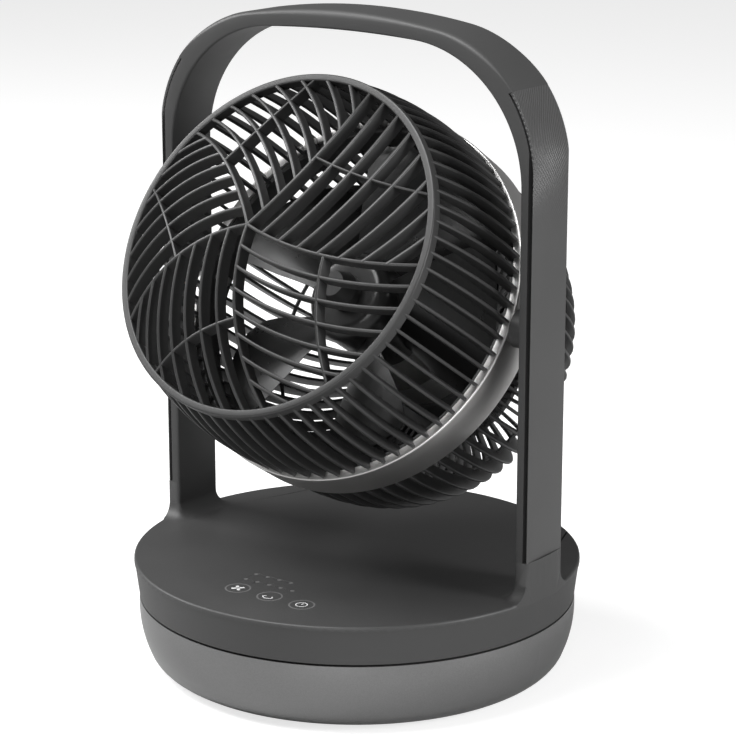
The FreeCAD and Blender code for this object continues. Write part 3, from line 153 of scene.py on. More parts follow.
paper, board, place = new_finish("white_paper")
fibre = noise(board, place, 0.004, 4.0)
seen = board.node("ShaderNodeLightPath", {}, {})["Is Camera Ray"]
coat_with(board, {
    "Base Color": blend_of(board, fibre, tint(0.48), tint(0.52)),
    "Roughness": fibre * 0.1 + 0.85,
    "Specular IOR Level": 0.1,
    "Normal": relief(board, fibre, 0.00005, 0.2),
    "Emission Color": tint(1.0),
    "Emission Strength": seen * 0.69,
})
mesh = bpy.data.meshes.new("floor")
half = 14.0
mesh.from_pydata([(-half, -half, 0), (half, -half, 0), (half, half, 0), (-half, half, 0)], [], [(0, 1, 2, 3)])
floor = bpy.data.objects.new("floor", mesh)
mesh.materials.append(paper)
bpy.context.scene.collection.objects.link(floor)

sky = bpy.data.worlds.new("sky")
sky.use_nodes = True
board = Board(sky.node_tree)
seen = board.node("ShaderNodeLightPath", {}, {})["Is Camera Ray"]
light = board.node("ShaderNodeBackground", {}, {
    "Color": tint(1.0), "Strength": seen * 0.99 + 0.16})["Background"]
board.node("ShaderNodeOutputWorld", {}, {"Surface": light})
bpy.context.scene.world = sky


def soft_box(name, spot, aim, wide, high, power):
    """A rectangular area light at spot that faces aim."""
    lamp = bpy.data.lights.new(name, "AREA")
    lamp.shape = "RECTANGLE"
    lamp.size = wide
    lamp.size_y = high
    lamp.energy = power
    box = bpy.data.objects.new(name, lamp)
    box.location = spot
    box.rotation_mode = "QUATERNION"
    box.rotation_quaternion = (Vector(aim) - Vector(spot)).to_track_quat("-Z", "Y")
    bpy.context.scene.collection.objects.link(box)


soft_box("left_box", (-1.7, -0.5, 1.2), (0, 0, 0.2), 0.9, 0.9, 30)
soft_box("right_box", (1.9, 0.3, 0.75), (0, 0, 0.3), 0.5, 0.9, 30)
soft_box("top_box", (-0.4, -0.7, 1.9), (0, 0, 0.1), 1.1, 0.9, 40)
soft_box("front_box", (0.9, -1.9, 0.45), (0, 0, 0.05), 0.7, 0.4, 13)


# ---------------------------------------------------------------- feet
# Five soft rubber discs, moulded with a matt skin and pressed into shallow recesses under the bowl.
def rubber(name, level, roughness):
    """Moulded rubber: dull, slightly mottled, with a bloom that lightens it in patches."""
    material, board, place = new_finish(name)
    bloom = noise(board, place, 0.006, 4.0)
    pores = noise(board, place, 0.0004)
    coat_with(board, {
        "Base Color": blend_of(board, bloom, tint(level * 0.7), tint(level * 1.5)),
        "Roughness": bloom * 0.12 + (roughness - 0.06),
        "Normal": relief(board, pores, 0.00006, 0.5),
    })
    return material


def paint_node(node, material):
    """Gives a carried-over part its finish."""
    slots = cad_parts[node].material_slots
    for index in range(len(slots)):
        slots[index].material = material


paint_node("rubber_feet", rubber("foot_rubber", 0.03, 0.8))

# ---------------------------------------------------------------- lower bowl
# Pressure-cast bowl in satin grey metallic paint over its turned side. It stands still while the upper
# half swivels on it, and a narrow dark gap parts the two.
def flake_paint(name, level, roughness, flake):
    """Satin metallic paint: fine flakes that glint a little, and slow drifts of shade."""
    material, board, place = new_finish(name)
    drift = noise(board, place, 0.05, 3.0)
    flakes = board.node("ShaderNodeTexVoronoi", {}, {"Vector": place, "Scale": 1 / flake})["Color"]
    glint = board.node("ShaderNodeSeparateColor", {}, {0: flakes})[0]
    peel = noise(board, place, 0.0016)
    share = glint * 0.55 + drift * 0.45
    coat_with(board, {
        "Base Color": blend_of(board, share, tint(level * 0.86), tint(level * 1.14)),
        "Metallic": 0.75,
        "Roughness": glint * 0.08 + drift * 0.06 + (roughness - 0.07),
        "Coat Weight": 0.25,
        "Coat Roughness": 0.35,
        "Normal": relief(board, peel + glint * 0.3, 0.00002, 0.35),
    })
    return material


bowl_paint = flake_paint("bowl_grey_paint", 0.20, 0.36, 0.00035)
paint_node("base_bowl", bowl_paint)


# ---------------------------------------------------------------- inside the lower half
# Ballast, power socket, plate, screws and the parts that the swivel turns on. Zinc-plated screws,
# a sintered iron ballast and black mouldings straight from the tool.
def moulding(name, level, roughness, grain, depth, warmth=0.0, spread=0.10):
    """Moulded plastic: fine spark-eroded grain, faint flow shading and gloss that drifts."""
    material, board, place = new_finish(name)
    flow = noise(board, place, 0.035, 3.0)
    tooth = noise(board, place, grain, 3.0)
    share = flow * 0.65 + tooth * 0.35
    coat_with(board, {
        "Base Color": blend_of(board, share, tint(level * (1 - spread), warmth),
                               tint(level * (1 + spread), warmth)),
        "Roughness": flow * 0.10 + tooth * 0.10 + (roughness - 0.10),
        "Normal": relief(board, tooth, depth, 0.6),
    })
    return material


def worked_metal(name, level, roughness, stretch, warmth=0.0):
    """Bare metal with fine tool marks, drawn out along the axis with the small stretch factor."""
    material, board, place = new_finish(name)
    drawn = board.node("ShaderNodeMapping", {}, {"Vector": place, "Scale": stretch})["Vector"]
    marks = noise(board, drawn, 0.0006, 3.0)
    stain = noise(board, place, 0.01, 3.0)
    share = marks * 0.5 + stain * 0.5
    coat_with(board, {
        "Base Color": blend_of(board, share, tint(level * 0.8, warmth), tint(level * 1.15, warmth)),
        "Metallic": 1.0,
        "Roughness": marks * 0.15 + stain * 0.1 + (roughness - 0.12),
        "Normal": relief(board, marks, 0.00002, 0.5),
    })
    return material


inner_black = moulding("inner_black", 0.028, 0.55, 0.0006, 0.00002)
screw_zinc = worked_metal("screw_zinc", 0.5, 0.32, (1, 1, 0.2))
bright_steel = worked_metal("bright_steel", 0.6, 0.22, (1, 1, 0.1))
dull_iron = worked_metal("dull_iron", 0.2, 0.55, (1, 1, 1))
acetal = moulding("natural_acetal", 0.60, 0.38, 0.0008, 0.00001, 0.02, 0.04)
for node in ("base_deck", "power_inlet"):
    paint_node(node, inner_black)
for node in ("base_screws", "floor_screws", "handle_screws", "arm_screws", "pivot_screws", "grille_screws"):
    paint_node(node, screw_zinc)
for node in ("swivel_spindle", "spindle_clip", "thrust_balls", "motor_shaft", "motor_bearings"):
    paint_node(node, bright_steel)
for node in ("ballast_plate", "motor_stator", "magnet_rotor"):
    paint_node(node, dull_iron)
for node in ("swivel_gear", "drive_pinion", "ball_cage"):
    paint_node(node, acetal)


# ---------------------------------------------------------------- inside the upper half
# Black floor that carries the swivel motor, the control board and the touch board under the deck.
def circuit_board(name):
    """Solder-masked board: paler copper lines under green lacquer, with small round pads."""
    material, board, place = new_finish(name)
    tracks = board.node("ShaderNodeTexBrick", {"offset": 0.35}, {
        "Vector": place, "Scale": 90.0, "Mortar Size": 0.06, "Mortar Smooth": 0.2})["Fac"]
    pads = board.node("ShaderNodeTexVoronoi", {}, {"Vector": place, "Scale": 140.0})["Distance"]
    copper = tracks.maths("MAXIMUM", tracks, pads.maths("LESS_THAN", pads, 0.12))
    coat_with(board, {
        "Base Color": blend_of(board, copper, (0.012, 0.09, 0.04, 1), (0.04, 0.2, 0.09, 1)),
        "Roughness": copper * -0.1 + 0.35,
        "Normal": relief(board, copper, 0.00004, 0.6),
    })
    return material


for node in ("upper_floor", "buzzer"):
    paint_node(node, inner_black)
green_board = circuit_board("green_board")
for node in ("control_board", "touch_board"):
    paint_node(node, green_board)
paint_node("light_guide", moulding("frosted_guide", 0.72, 0.5, 0.001, 0.00002, 0.0, 0.03))
plated_can = worked_metal("plated_can", 0.42, 0.34, (1, 1, 0.08))
for node in ("swivel_motor", "motor_housing", "motor_cover"):
    paint_node(node, plated_can)


# ---------------------------------------------------------------- upper cover
# Deck, skirt and the two leg stubs are one charcoal moulding with a fine matt grain. Its rim is
# broken by a small round that catches the light.
def plain_copy(name, node):
    """A merged, outward-facing copy of a carried-over part's mesh."""
    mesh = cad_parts[node].data.copy()
    mesh.name = name
    work = bmesh.new()
    work.from_mesh(mesh)
    bmesh.ops.remove_doubles(work, verts=work.verts, dist=1e-6)
    bmesh.ops.recalc_face_normals(work, faces=work.faces)
    work.to_mesh(mesh)
    work.free()
    mesh.materials.clear()
    return mesh


def put_up(name, mesh, material, body, slot, *nodes):
    """Puts a finished mesh in the scene as a piece that rides on a body and stands for nodes."""
    mesh.materials.clear()
    mesh.materials.append(material)
    piece = bpy.data.objects.new(name, mesh)
    bpy.context.scene.collection.objects.link(piece)
    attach(piece, body)
    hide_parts(*nodes)
    return piece


def soften(mesh, angle):
    """Smooth shading, except across edges sharper than the angle in degrees."""
    mesh.polygons.foreach_set("use_smooth", [True] * len(mesh.polygons))
    mesh.set_sharp_from_angle(angle=math.radians(angle))


charcoal = moulding("charcoal_shell_grain", 0.044, 0.50, 0.0005, 0.00002)
rim_radius, rim_height, rim_round = 0.122, 0.0613, 0.0011
cover = bpy.data.objects.new("deck_cover", plain_copy("deck_cover", "top_cover"))
bpy.context.scene.collection.objects.link(cover)
weights = cover.data.attributes.new("bevel_weight_edge", "FLOAT", "EDGE")
for edge in cover.data.edges:
    ends = [cover.data.vertices[index].co for index in edge.vertices]
    if all(abs(math.hypot(end.x, end.y) - rim_radius) < 0.0001 and abs(end.z - rim_height) < 0.0001
           for end in ends):
        weights.data[edge.index].value = 1.0
soften(cover.data, 30)
rim = cover.modifiers.new("rim", "BEVEL")
rim.limit_method = "WEIGHT"
rim.width = rim_round
rim.segments = 3
even = cover.modifiers.new("even", "WEIGHTED_NORMAL")
even.keep_sharp = True
even.weight = 100
graph = bpy.context.evaluated_depsgraph_get()
mesh = bpy.data.meshes.new_from_object(cover.evaluated_get(graph))
bpy.data.objects.remove(cover)
put_up("deck_cover", mesh, charcoal, "upper", "charcoal_shell", "top_cover")

# ---------------------------------------------------------------- touch symbols
# Translucent inlays moulded flush with the deck: ring and dot windows, lit from under. The marks in the
# rings are printed on the deck in pale ink, a film a few hundredths thick.
paint_node("icon_inlays", moulding("pale_inlay", 0.13, 0.4, 0.0006, 0.00001))
ink = moulding("pale_ink", 0.70, 0.5, 0.0006, 0.00001)
deck_top = 0.0613


def ink_strip(work, points, width):
    """Adds a thin raised line of ink through flat points."""
    low, high = deck_top + 0.00001, deck_top + 0.00005
    rows = []
    for index, (x, y) in enumerate(points):
        before, after = points[max(index - 1, 0)], points[min(index + 1, len(points) - 1)]
        along = Vector((after[0] - before[0], after[1] - before[1], 0)).normalized()
        side = Vector((-along.y, along.x, 0)) * (width / 2)
        here = Vector((x, y, 0))
        rows.append([work.verts.new((spot.x, spot.y, z)) for spot, z in
                     ((here - side, low), (here + side, low), (here + side, high), (here - side, high))])
    for first, second in zip(rows, rows[1:]):
        for index in range(4):
            after = (index + 1) % 4
            work.faces.new((first[index], first[after], second[after], second[index]))
    work.faces.new(rows[0])
    work.faces.new(rows[-1][::-1])


def ink_arc(centre, radius, start, end, steps=14):
    """Points of an arc about a centre, in degrees."""
    turns = [math.radians(start + (end - start) * step / steps) for step in range(steps + 1)]
    return [(centre[0] + radius * math.cos(turn), centre[1] + radius * math.sin(turn)) for turn in turns]


work = bmesh.new()
fan_mark, sway_mark, clock_mark = (-0.0125, -0.0880), (0.0086, -0.0880), (0.0298, -0.0880)
for turn in range(4):
    angle = math.radians(45 + 90 * turn)
    tip = (fan_mark[0] + 0.0034 * math.cos(angle), fan_mark[1] + 0.0034 * math.sin(angle))
    start = (fan_mark[0] + 0.0008 * math.cos(angle), fan_mark[1] + 0.0008 * math.sin(angle))
    ink_strip(work, [start, tip], 0.0016)
ink_strip(work, ink_arc(sway_mark, 0.0034, 205, 335), 0.0006)
for end, turn in ((205, 1), (335, -1)):
    tip = ink_arc(sway_mark, 0.0034, end, end, 1)[0]
    ink_strip(work, [tip, (tip[0] + 0.0013 * turn, tip[1] + 0.0014)], 0.0006)
ink_strip(work, ink_arc(clock_mark, 0.0030, 0, 360, 24), 0.0005)
ink_strip(work, [clock_mark, (clock_mark[0], clock_mark[1] + 0.0019)], 0.0005)
bmesh.ops.recalc_face_normals(work, faces=work.faces)
mesh = bpy.data.meshes.new("deck_marks")
work.to_mesh(mesh)
work.free()
put_up("deck_marks", mesh, ink, "upper", "icon_pale")


# ---------------------------------------------------------------- carrying hoop
# Inverted U: a charcoal moulding with soft inner edges and a full round crown. Each leg is a channel
# that the outer strip closes, and a shadow gap parts strip and channel.
deck_radius = 0.122
hoop_top = 0.3576
hoop_half_width = 0.03350 / 2
stub_top = 0.082


def arch_side(half_width, top, corner, crown, steps):
    """One side of an arch from its springing to the middle of its crown, as two runs of points."""
    centre = half_width - corner
    rise = math.sqrt((crown - corner) ** 2 - centre ** 2)
    spring = top - crown + rise
    turn = math.atan2(rise, centre)
    bend = [(centre + corner * math.cos(turn * step / steps), spring + corner * math.sin(turn * step / steps))
            for step in range(steps + 1)]
    span = math.pi / 2 - turn
    over = [(crown * math.cos(turn + span * step / 8), top - crown + crown * math.sin(turn + span * step / 8))
            for step in range(1, 9)]
    return bend, over


def hoop_stations():
    """Outer and inner points of the hoop, from the right foot over the crown to the left foot."""
    outer_bend, outer_over = arch_side(deck_radius, hoop_top, 0.071, 0.385, 28)
    inner_bend, inner_over = arch_side(deck_radius - 0.0084, hoop_top - 0.0101, 0.071, 0.700, 28)
    leg_steps = 24
    pairs = []
    for step in range(leg_steps):
        share = step / leg_steps
        pairs.append(((deck_radius, stub_top + (outer_bend[0][1] - stub_top) * share),
                      (deck_radius - 0.0084, stub_top + (inner_bend[0][1] - stub_top) * share)))
    pairs += list(zip(outer_bend + outer_over, inner_bend + inner_over))
    pairs += [((-ox, oz), (-ix, iz)) for (ox, oz), (ix, iz) in pairs[-2::-1]]
    return pairs


def eased_box(low, high, half_width, low_round, high_round, steps):
    """Rounded rectangle from low to high across and half_width to each side."""
    points = []
    for corner_across, corner_side, ease, start in (
            (high, half_width, high_round, 0), (low, half_width, low_round, 90),
            (low, -half_width, low_round, 180), (high, -half_width, high_round, 270)):
        centre_across = corner_across - math.copysign(ease, corner_across - (low + high) / 2)
        centre_side = corner_side - math.copysign(ease, corner_side)
        for step in range(steps + 1):
            angle = math.radians(start + 90 * step / steps)
            points.append((centre_across + ease * math.cos(angle), centre_side + ease * math.sin(angle)))
    return points


def skin_over(rings, capped=True):
    """Closed mesh over a row of equal rings of points."""
    work = bmesh.new()
    rows = [[work.verts.new(point) for point in ring] for ring in rings]
    count = len(rings[0])
    for first, second in zip(rows, rows[1:]):
        for index in range(count):
            after = (index + 1) % count
            work.faces.new((first[index], first[after], second[after], second[index]))
    if capped:
        work.faces.new(rows[0])
        work.faces.new(rows[-1][::-1])
    bmesh.ops.recalc_face_normals(work, faces=work.faces)
    mesh = bpy.data.meshes.new("skin")
    work.to_mesh(mesh)
    work.free()
    return mesh


def hoop_ring(pair, low, thickness_share, low_round, high_round, half_width):
    """One cross-section of the hoop; low is the distance in from its outer line."""
    outer, inner = Vector((pair[0][0], 0, pair[0][1])), Vector((pair[1][0], 0, pair[1][1]))
    inward = (inner - outer).normalized()
    high = (inner - outer).length * thickness_share if thickness_share else low + 0.0016
    points = []
    for across, side in eased_box(low, high, half_width, low_round, high_round, 4):
        spot = outer + inward * across + Vector((0, side, 0))
        reach = math.sqrt(max(0.0, (deck_radius - low) ** 2 - side ** 2))
        spot.x = max(-reach, min(reach, spot.x))
        points.append(spot)
    return points


seam_height = hoop_top * 0.909
stations = hoop_stations()
right_half = stations[:len(stations) // 2 + 1]
above = next(index for index, pair in enumerate(right_half) if pair[0][1] > seam_height)
under, over = right_half[above - 1], right_half[above]
share = (seam_height - under[0][1]) / (over[0][1] - under[0][1])
seam = tuple(tuple(low + (high - low) * share for low, high in zip(first, second))
             for first, second in zip(under, over))
legs = right_half[:above] + [seam]
crown = [seam] + right_half[above:]
crown += [((-o[0], o[1]), (-i[0], i[1])) for o, i in crown[-2::-1]]


def crown_round(pair):
    """The crown's outer edges are broad in the middle and tighten towards the strips."""
    share = min(1.0, max(0.0, (pair[0][1] - seam_height) / 0.024))
    return 0.0005 + 0.0036 * share * share * (3 - 2 * share)


work = bmesh.new()
for side in (1, -1):
    rings = [hoop_ring(((side * o[0], o[1]), (side * i[0], i[1])), 0.0024, 1.0, 0.0003, 0.0016,
                       hoop_half_width) for o, i in legs]
    work.from_mesh(skin_over(rings))
work.from_mesh(skin_over([hoop_ring(pair, 0.0, 1.0, crown_round(pair), 0.0016, hoop_half_width)
                          for pair in crown]))
mesh = bpy.data.meshes.new("hoop")
work.to_mesh(mesh)
work.free()
soften(mesh, 40)
put_up("carrying_hoop", mesh, charcoal, "upper", "charcoal_shell", "handle_frame")


# ---------------------------------------------------------------- outer strips
# Thin charcoal strips clipped over the channels. Fine ridges sweep across them at the hoop's corner
# and fade out down the leg.
def ridged(name, level, roughness, pitch):
    """Charcoal moulding with slanting ridges whose crests carry a painted highlight; the map's U runs across
    and V up the strip.
    """
    material, board, place = new_finish(name)
    tooth = noise(board, place, 0.0005, 3.0)
    flow = noise(board, place, 0.035, 3.0)
    map_place = board.node("ShaderNodeUVMap", {"uv_map": "along"}, {})["UV"]
    parts = board.node("ShaderNodeSeparateXYZ", {}, {0: map_place})
    across, up = parts["X"], parts["Y"]
    phase = (up * 0.56 - across * 0.83 + across * across * 9.0) * (2 * math.pi / pitch)
    wave = phase.maths("SINE", phase) * 0.5 + 0.5
    fade_in = board.node("ShaderNodeMapRange", {"interpolation_type": "SMOOTHSTEP"}, {
        "Value": up, "From Min": 0.170, "From Max": 0.215})["Result"]
    strength = wave * fade_in
    coat_with(board, {
        # Base colour is painted lighter on the ridge crests and darker in the grooves: painted highlight and
        # shade, laid over the real bump of the ridges.
        "Base Color": blend_of(board, strength * 0.5 + flow * 0.5, tint(level * 0.85), tint(level * 1.3)),
        "Roughness": flow * 0.10 + tooth * 0.08 + (roughness - 0.09),
        "Normal": relief(board, strength + tooth * 0.05, 0.00035, 0.9),
    })
    return material


strip_ridges = ridged("ridged_trim_strip", 0.058, 0.42, 0.0015)
strip_half = hoop_half_width - 0.0003
for side, mark in ((1, "right"), (-1, "left")):
    rings = [hoop_ring(((side * o[0], o[1]), (side * i[0], i[1])), 0.0, None, 0.0004, 0.0004, strip_half)
             for o, i in legs]
    mesh = skin_over(rings)
    along = [0.0]
    for (first, _), (second, _) in zip(legs, legs[1:]):
        along.append(along[-1] + math.dist(first, second))
    per_ring = len(rings[0])
    layer = mesh.uv_layers.new(name="along")
    for loop in mesh.loops:
        point = mesh.vertices[loop.vertex_index].co
        layer.data[loop.index].uv = (point.y, along[loop.vertex_index // per_ring])
    soften(mesh, 40)
    put_up("outer_strip_" + mark, mesh, strip_ridges, "upper", "ridged_trim", "handle_strip_" + mark)

# ---------------------------------------------------------------- tilt pivots
# Arms screwed to the band, with pins that turn in bronze bushes. Firm rubber washers hold the tilt.
arm_dark = moulding("arm_dark", 0.035, 0.5, 0.0006, 0.00002)
for node in ("pivot_arm_left", "pivot_arm_right"):
    paint_node(node, arm_dark)
paint_node("pivot_washers", rubber("friction_rubber", 0.05, 0.75))
bronze = worked_metal("sintered_bronze", 0.36, 0.45, (1, 1, 1), 0.3)
for node in ("pivot_bush_left", "pivot_bush_right"):
    paint_node(node, bronze)

# ---------------------------------------------------------------- band
# Spun aluminium band round the widest part of the head, satin with faint turning lines. Its front edge
# is folded in to a narrow bright flange.
head_place = Matrix.Translation((0, 0, 0.20115)) @ Matrix.Rotation(math.radians(58.2), 4, "X")


def eased(corners, steps=3):
    """Closed outline with its corners rounded; each corner is (radius, height, ease)."""
    points = []
    for index, (x, y, ease) in enumerate(corners):
        here = Vector((x, y))
        before = Vector(corners[index - 1][:2])
        after = Vector(corners[(index + 1) % len(corners)][:2])
        start = here + (before - here).normalized() * ease
        end = here + (after - here).normalized() * ease
        for step in range(steps + 1):
            share = step / steps
            points.append(start.lerp(here, share).lerp(here.lerp(end, share), share))
    return points


def turned(corners, steps, ease_steps=3):
    """Ring about the head's axis from an outline of (radius, height, ease) corners."""
    outline = eased(corners, ease_steps)
    work = bmesh.new()
    rows = []
    for step in range(steps):
        angle = 2 * math.pi * step / steps
        rows.append([work.verts.new((p.x * math.cos(angle), p.x * math.sin(angle), p.y)) for p in outline])
    layer = work.loops.layers.uv.new("round")
    for step in range(steps):
        first, second = rows[step], rows[(step + 1) % steps]
        for index in range(len(outline)):
            after = (index + 1) % len(outline)
            face = work.faces.new((first[index], first[after], second[after], second[index]))
            for loop, turn, mark in zip(face.loops, (step, step, step + 1, step + 1),
                                        (index, after, after, index)):
                loop[layer].uv = (turn / steps, outline[mark].y)
    bmesh.ops.recalc_face_normals(work, faces=work.faces)
    mesh = bpy.data.meshes.new("turned")
    work.to_mesh(mesh)
    work.free()
    return mesh


def spun_metal(name, level, roughness):
    """Satin spun metal: lines run round the ring, and the map's U goes once round it."""
    material, board, place = new_finish(name)
    round_place = board.node("ShaderNodeUVMap", {"uv_map": "round"}, {})["UV"]
    drawn = board.node("ShaderNodeMapping", {}, {"Vector": round_place, "Scale": (0.02, 6.0, 1.0)})["Vector"]
    lines = noise(board, drawn, 0.0012, 4.0)
    cloud = noise(board, place, 0.03, 3.0)
    share = lines * 0.5 + cloud * 0.5
    coat_with(board, {
        "Base Color": blend_of(board, share, tint(level * 0.9, 0.012), tint(level * 1.08, 0.012)),
        "Metallic": 1.0,
        "Roughness": lines * 0.10 + cloud * 0.05 + (roughness - 0.07),
        "Normal": relief(board, lines, 0.00001, 0.5),
    })
    return material


band_metal = spun_metal("band_satin_silver", 0.66, 0.36)
mesh = turned([
    (0.1009, -0.0142, 0.0002), (0.1035, -0.0142, 0.0009), (0.1035, 0.0086, 0.0010),
    (0.0985, 0.0086, 0.0004), (0.0985, 0.0066, 0.0002), (0.1009, 0.0066, 0.0002),
], 256)
mesh.transform(head_place)
soften(mesh, 50)
put_up("silver_band", mesh, band_metal, "head", "band_silver", "trim_band")

# ---------------------------------------------------------------- front grille
# One dark satin moulding: domed swirl of ribs, front ring, seventy side bars and the lip that fits
# inside the band. Every rib and bar has a soft outer edge.
grille_plastic = moulding("grille_dark_satin", 0.026, 0.42, 0.0007, 0.000012)


def add_bar(work, spots, sides, down, depths, width, ease):
    """Adds a bar that hangs down from its spots by a depth at each one, with rounded top edges."""
    edge = []
    for step in range(4):
        angle = math.radians(180 - 30 * step)
        edge.append((-width / 2 + ease + ease * math.cos(angle), ease - ease * math.sin(angle)))
    edge += [(-across, fall) for across, fall in reversed(edge)]
    rows = []
    for spot, side, depth in zip(spots, sides, depths):
        section = [(-width / 2, depth)] + edge + [(width / 2, depth)]
        rows.append([work.verts.new(spot + side * across + down * fall) for across, fall in section])
    count = len(section)
    for first, second in zip(rows, rows[1:]):
        for index in range(count):
            after = (index + 1) % count
            work.faces.new((first[index], first[after], second[after], second[index]))
    work.faces.new(rows[0])
    work.faces.new(rows[-1][::-1])


def mesh_from(work):
    """Ends an edit: outward normals, then a mesh."""
    bmesh.ops.recalc_face_normals(work, faces=work.faces)
    mesh = bpy.data.meshes.new("part")
    work.to_mesh(mesh)
    work.free()
    return mesh


def copies_tree():
    """Node tree that sets equal copies of its mesh about the head's axis."""
    tree = bpy.data.node_groups.new("copies_about_axis", "GeometryNodeTree")
    for name, kind in (("Part", "NodeSocketGeometry"), ("Count", "NodeSocketInt"),
                       ("First turn", "NodeSocketFloat"), ("Finish", "NodeSocketMaterial")):
        tree.interface.new_socket(name=name, in_out="INPUT", socket_type=kind)
    tree.interface.new_socket(name="Copies", in_out="OUTPUT", socket_type="NodeSocketGeometry")
    board = Board(tree)
    inputs = board.node("NodeGroupInput", {}, {})
    marks = board.node("GeometryNodeMeshLine", {}, {"Count": inputs["Count"], "Offset": (0, 0, 0)})["Mesh"]
    index = board.node("GeometryNodeInputIndex", {}, {})["Index"]
    turn = index * (2 * math.pi) / inputs["Count"] + inputs["First turn"]
    turns = board.node("ShaderNodeCombineXYZ", {}, {"Z": turn})["Vector"]
    copies = board.node("GeometryNodeInstanceOnPoints", {}, {
        "Points": marks, "Instance": inputs["Part"], "Rotation": turns})["Instances"]
    real = board.node("GeometryNodeRealizeInstances", {}, {"Geometry": copies})["Geometry"]
    done = board.node("GeometryNodeSetMaterial", {}, {
        "Geometry": real, "Material": inputs["Finish"]})["Geometry"]
    board.node("NodeGroupOutput", {}, {"Copies": done})
    return tree


axis_copies = copies_tree()


def copied(part, count, finish, first_turn=0.0):
    """Plain mesh of equal copies of a part about the head's axis."""
    maker = bpy.data.objects.new("maker", part)
    bpy.context.scene.collection.objects.link(maker)
    modifier = maker.modifiers.new("copies", "NODES")
    modifier.node_group = axis_copies
    sockets = {item.name: item.identifier for item in axis_copies.interface.items_tree
               if item.item_type == "SOCKET" and item.in_out == "INPUT"}
    modifier[sockets["Count"]] = count
    modifier[sockets["First turn"]] = first_turn
    modifier[sockets["Finish"]] = finish
    graph = bpy.context.evaluated_depsgraph_get()
    mesh = bpy.data.meshes.new_from_object(maker.evaluated_get(graph))
    bpy.data.objects.remove(maker)
    return mesh


def arc_points(first, middle, last, steps):
    """Points on the circle through three (radius, height) points."""
    a, b, c = (Vector(p) for p in (first, middle, last))
    mid_ab, mid_bc = (a + b) / 2, (b + c) / 2
    ab, bc = b - a, c - b
    cross = ab.x * bc.y - ab.y * bc.x
    t = ((mid_bc - mid_ab).dot(bc)) / (-ab.y * bc.x + ab.x * bc.y) if abs(cross) > 1e-12 else 0.0
    centre = mid_ab + Vector((-ab.y, ab.x)) * t
    start = math.atan2(a.y - centre.y, a.x - centre.x)
    end = math.atan2(c.y - centre.y, c.x - centre.x)
    radius = (a - centre).length
    return [(centre.x + radius * math.cos(start + (end - start) * step / steps),
             centre.y + radius * math.sin(start + (end - start) * step / steps)) for step in range(steps + 1)]


ring_outer, ring_inner, ring_face = 0.0939, 0.0898, 0.0844
rib_width, rib_depth, bar_count = 0.0019, 0.008, 70
dome_rise = 0.024
dome_radius = (ring_inner ** 2 + dome_rise ** 2) / (2 * dome_rise)


def dome_height(distance):
    """Height of the domed front over the head's pivot plane."""
    return ring_face + dome_rise - dome_radius + math.sqrt(dome_radius ** 2 - distance ** 2)


def rib_on_dome(work, flat_points, width):
    """Adds one rib that follows flat points lifted on to the dome."""
    spots = [Vector((x, y, dome_height(min(math.hypot(x, y), ring_outer)))) for x, y in flat_points]
    sides = []
    for index in range(len(spots)):
        ahead = spots[min(index + 1, len(spots) - 1)] - spots[max(index - 1, 0)]
        sides.append(Vector((-ahead.y, ahead.x, 0)).normalized())
    add_bar(work, spots, sides, Vector((0, 0, -1)), [rib_depth] * len(spots), width, width * 0.36)


def clipped_arc(centre, radius, start, span, limit):
    """Points of an arc in degrees, until it leaves the circle with that limit."""
    points = []
    for step in range(81):
        angle = math.radians(start + span * step / 80)
        x, y = centre[0] + radius * math.cos(angle), centre[1] + radius * math.sin(angle)
        if math.hypot(x, y) > limit:
            break
        points.append((x, y))
    return points[::2] + ([points[-1]] if len(points) % 2 == 0 else [])


sweep = math.radians(20)
rib_arc = ring_inner / (2 * math.sin(sweep))


def on_main_rib(distance, turn):
    """Point of a main rib at a distance from the centre."""
    angle = math.radians(turn) - sweep + math.asin(distance / (2 * rib_arc))
    return distance * math.cos(angle), distance * math.sin(angle)


work = bmesh.new()
heading = 72 - math.degrees(sweep)
arc_centre = (rib_arc * math.cos(math.radians(heading + 90)), rib_arc * math.sin(math.radians(heading + 90)))
for number in range(8):
    origin = on_main_rib(0.011 * number, 0)
    centre = (arc_centre[0] + origin[0], arc_centre[1] + origin[1])
    rib = clipped_arc(centre, rib_arc, heading - 90, 2 * math.degrees(sweep) + 2, ring_inner + 0.0012)
    if len(rib) > 2:
        rib_on_dome(work, rib, rib_width)
first = on_main_rib(ring_inner * 0.53, 72)
cross_end, cross_turn = ring_inner + 0.001, math.radians(24)
last = (cross_end * math.cos(cross_turn), cross_end * math.sin(cross_turn))
bow = 0.05
chord = (last[0] - first[0], last[1] - first[1])
cross = []
for step in range(25):
    share = step / 24
    lift = -4 * bow * share * (1 - share)
    cross.append((first[0] + chord[0] * share - chord[1] * lift,
                  first[1] + chord[1] * share + chord[0] * lift))
rib_on_dome(work, cross, rib_width * 0.75)
swirl = copied(mesh_from(work), 5, grille_plastic)

lip_top = 0.0065
bar_line = arc_points((0.1013, 0.0), ((0.1013 + ring_outer - 0.0006) / 2 + 0.0043, (ring_face - 0.001) / 2),
                      (ring_outer - 0.0006, ring_face - 0.001), 26)
inner_line = arc_points((0.0953, 0.0), ((0.1013 + ring_outer - 0.0006) / 2 - 0.0017, (ring_face - 0.001) / 2),
                        (ring_inner + 0.0003, ring_face - 0.001), 26)
kept = [(r, h, r - inner) for (r, h), (inner, _) in zip(bar_line, inner_line) if h > lip_top + 0.0022]
kept.insert(0, (kept[0][0], lip_top + 0.0021, kept[0][2]))
inward, beside = Vector((-1, 0, 0)), Vector((0, 1, 0))
work = bmesh.new()
add_bar(work, [Vector((r, 0, h)) for r, h, _ in kept], [beside] * len(kept), inward,
        [depth for _, _, depth in kept], rib_width, 0.0007)
add_bar(work, [Vector((0.0984, 0, lip_top + rise)) for rise in (-0.0005, 0.0026)], [beside] * 2, inward,
        [0.0029] * 2, rib_width, 0.0003)
side_bars = copied(mesh_from(work), bar_count, grille_plastic)

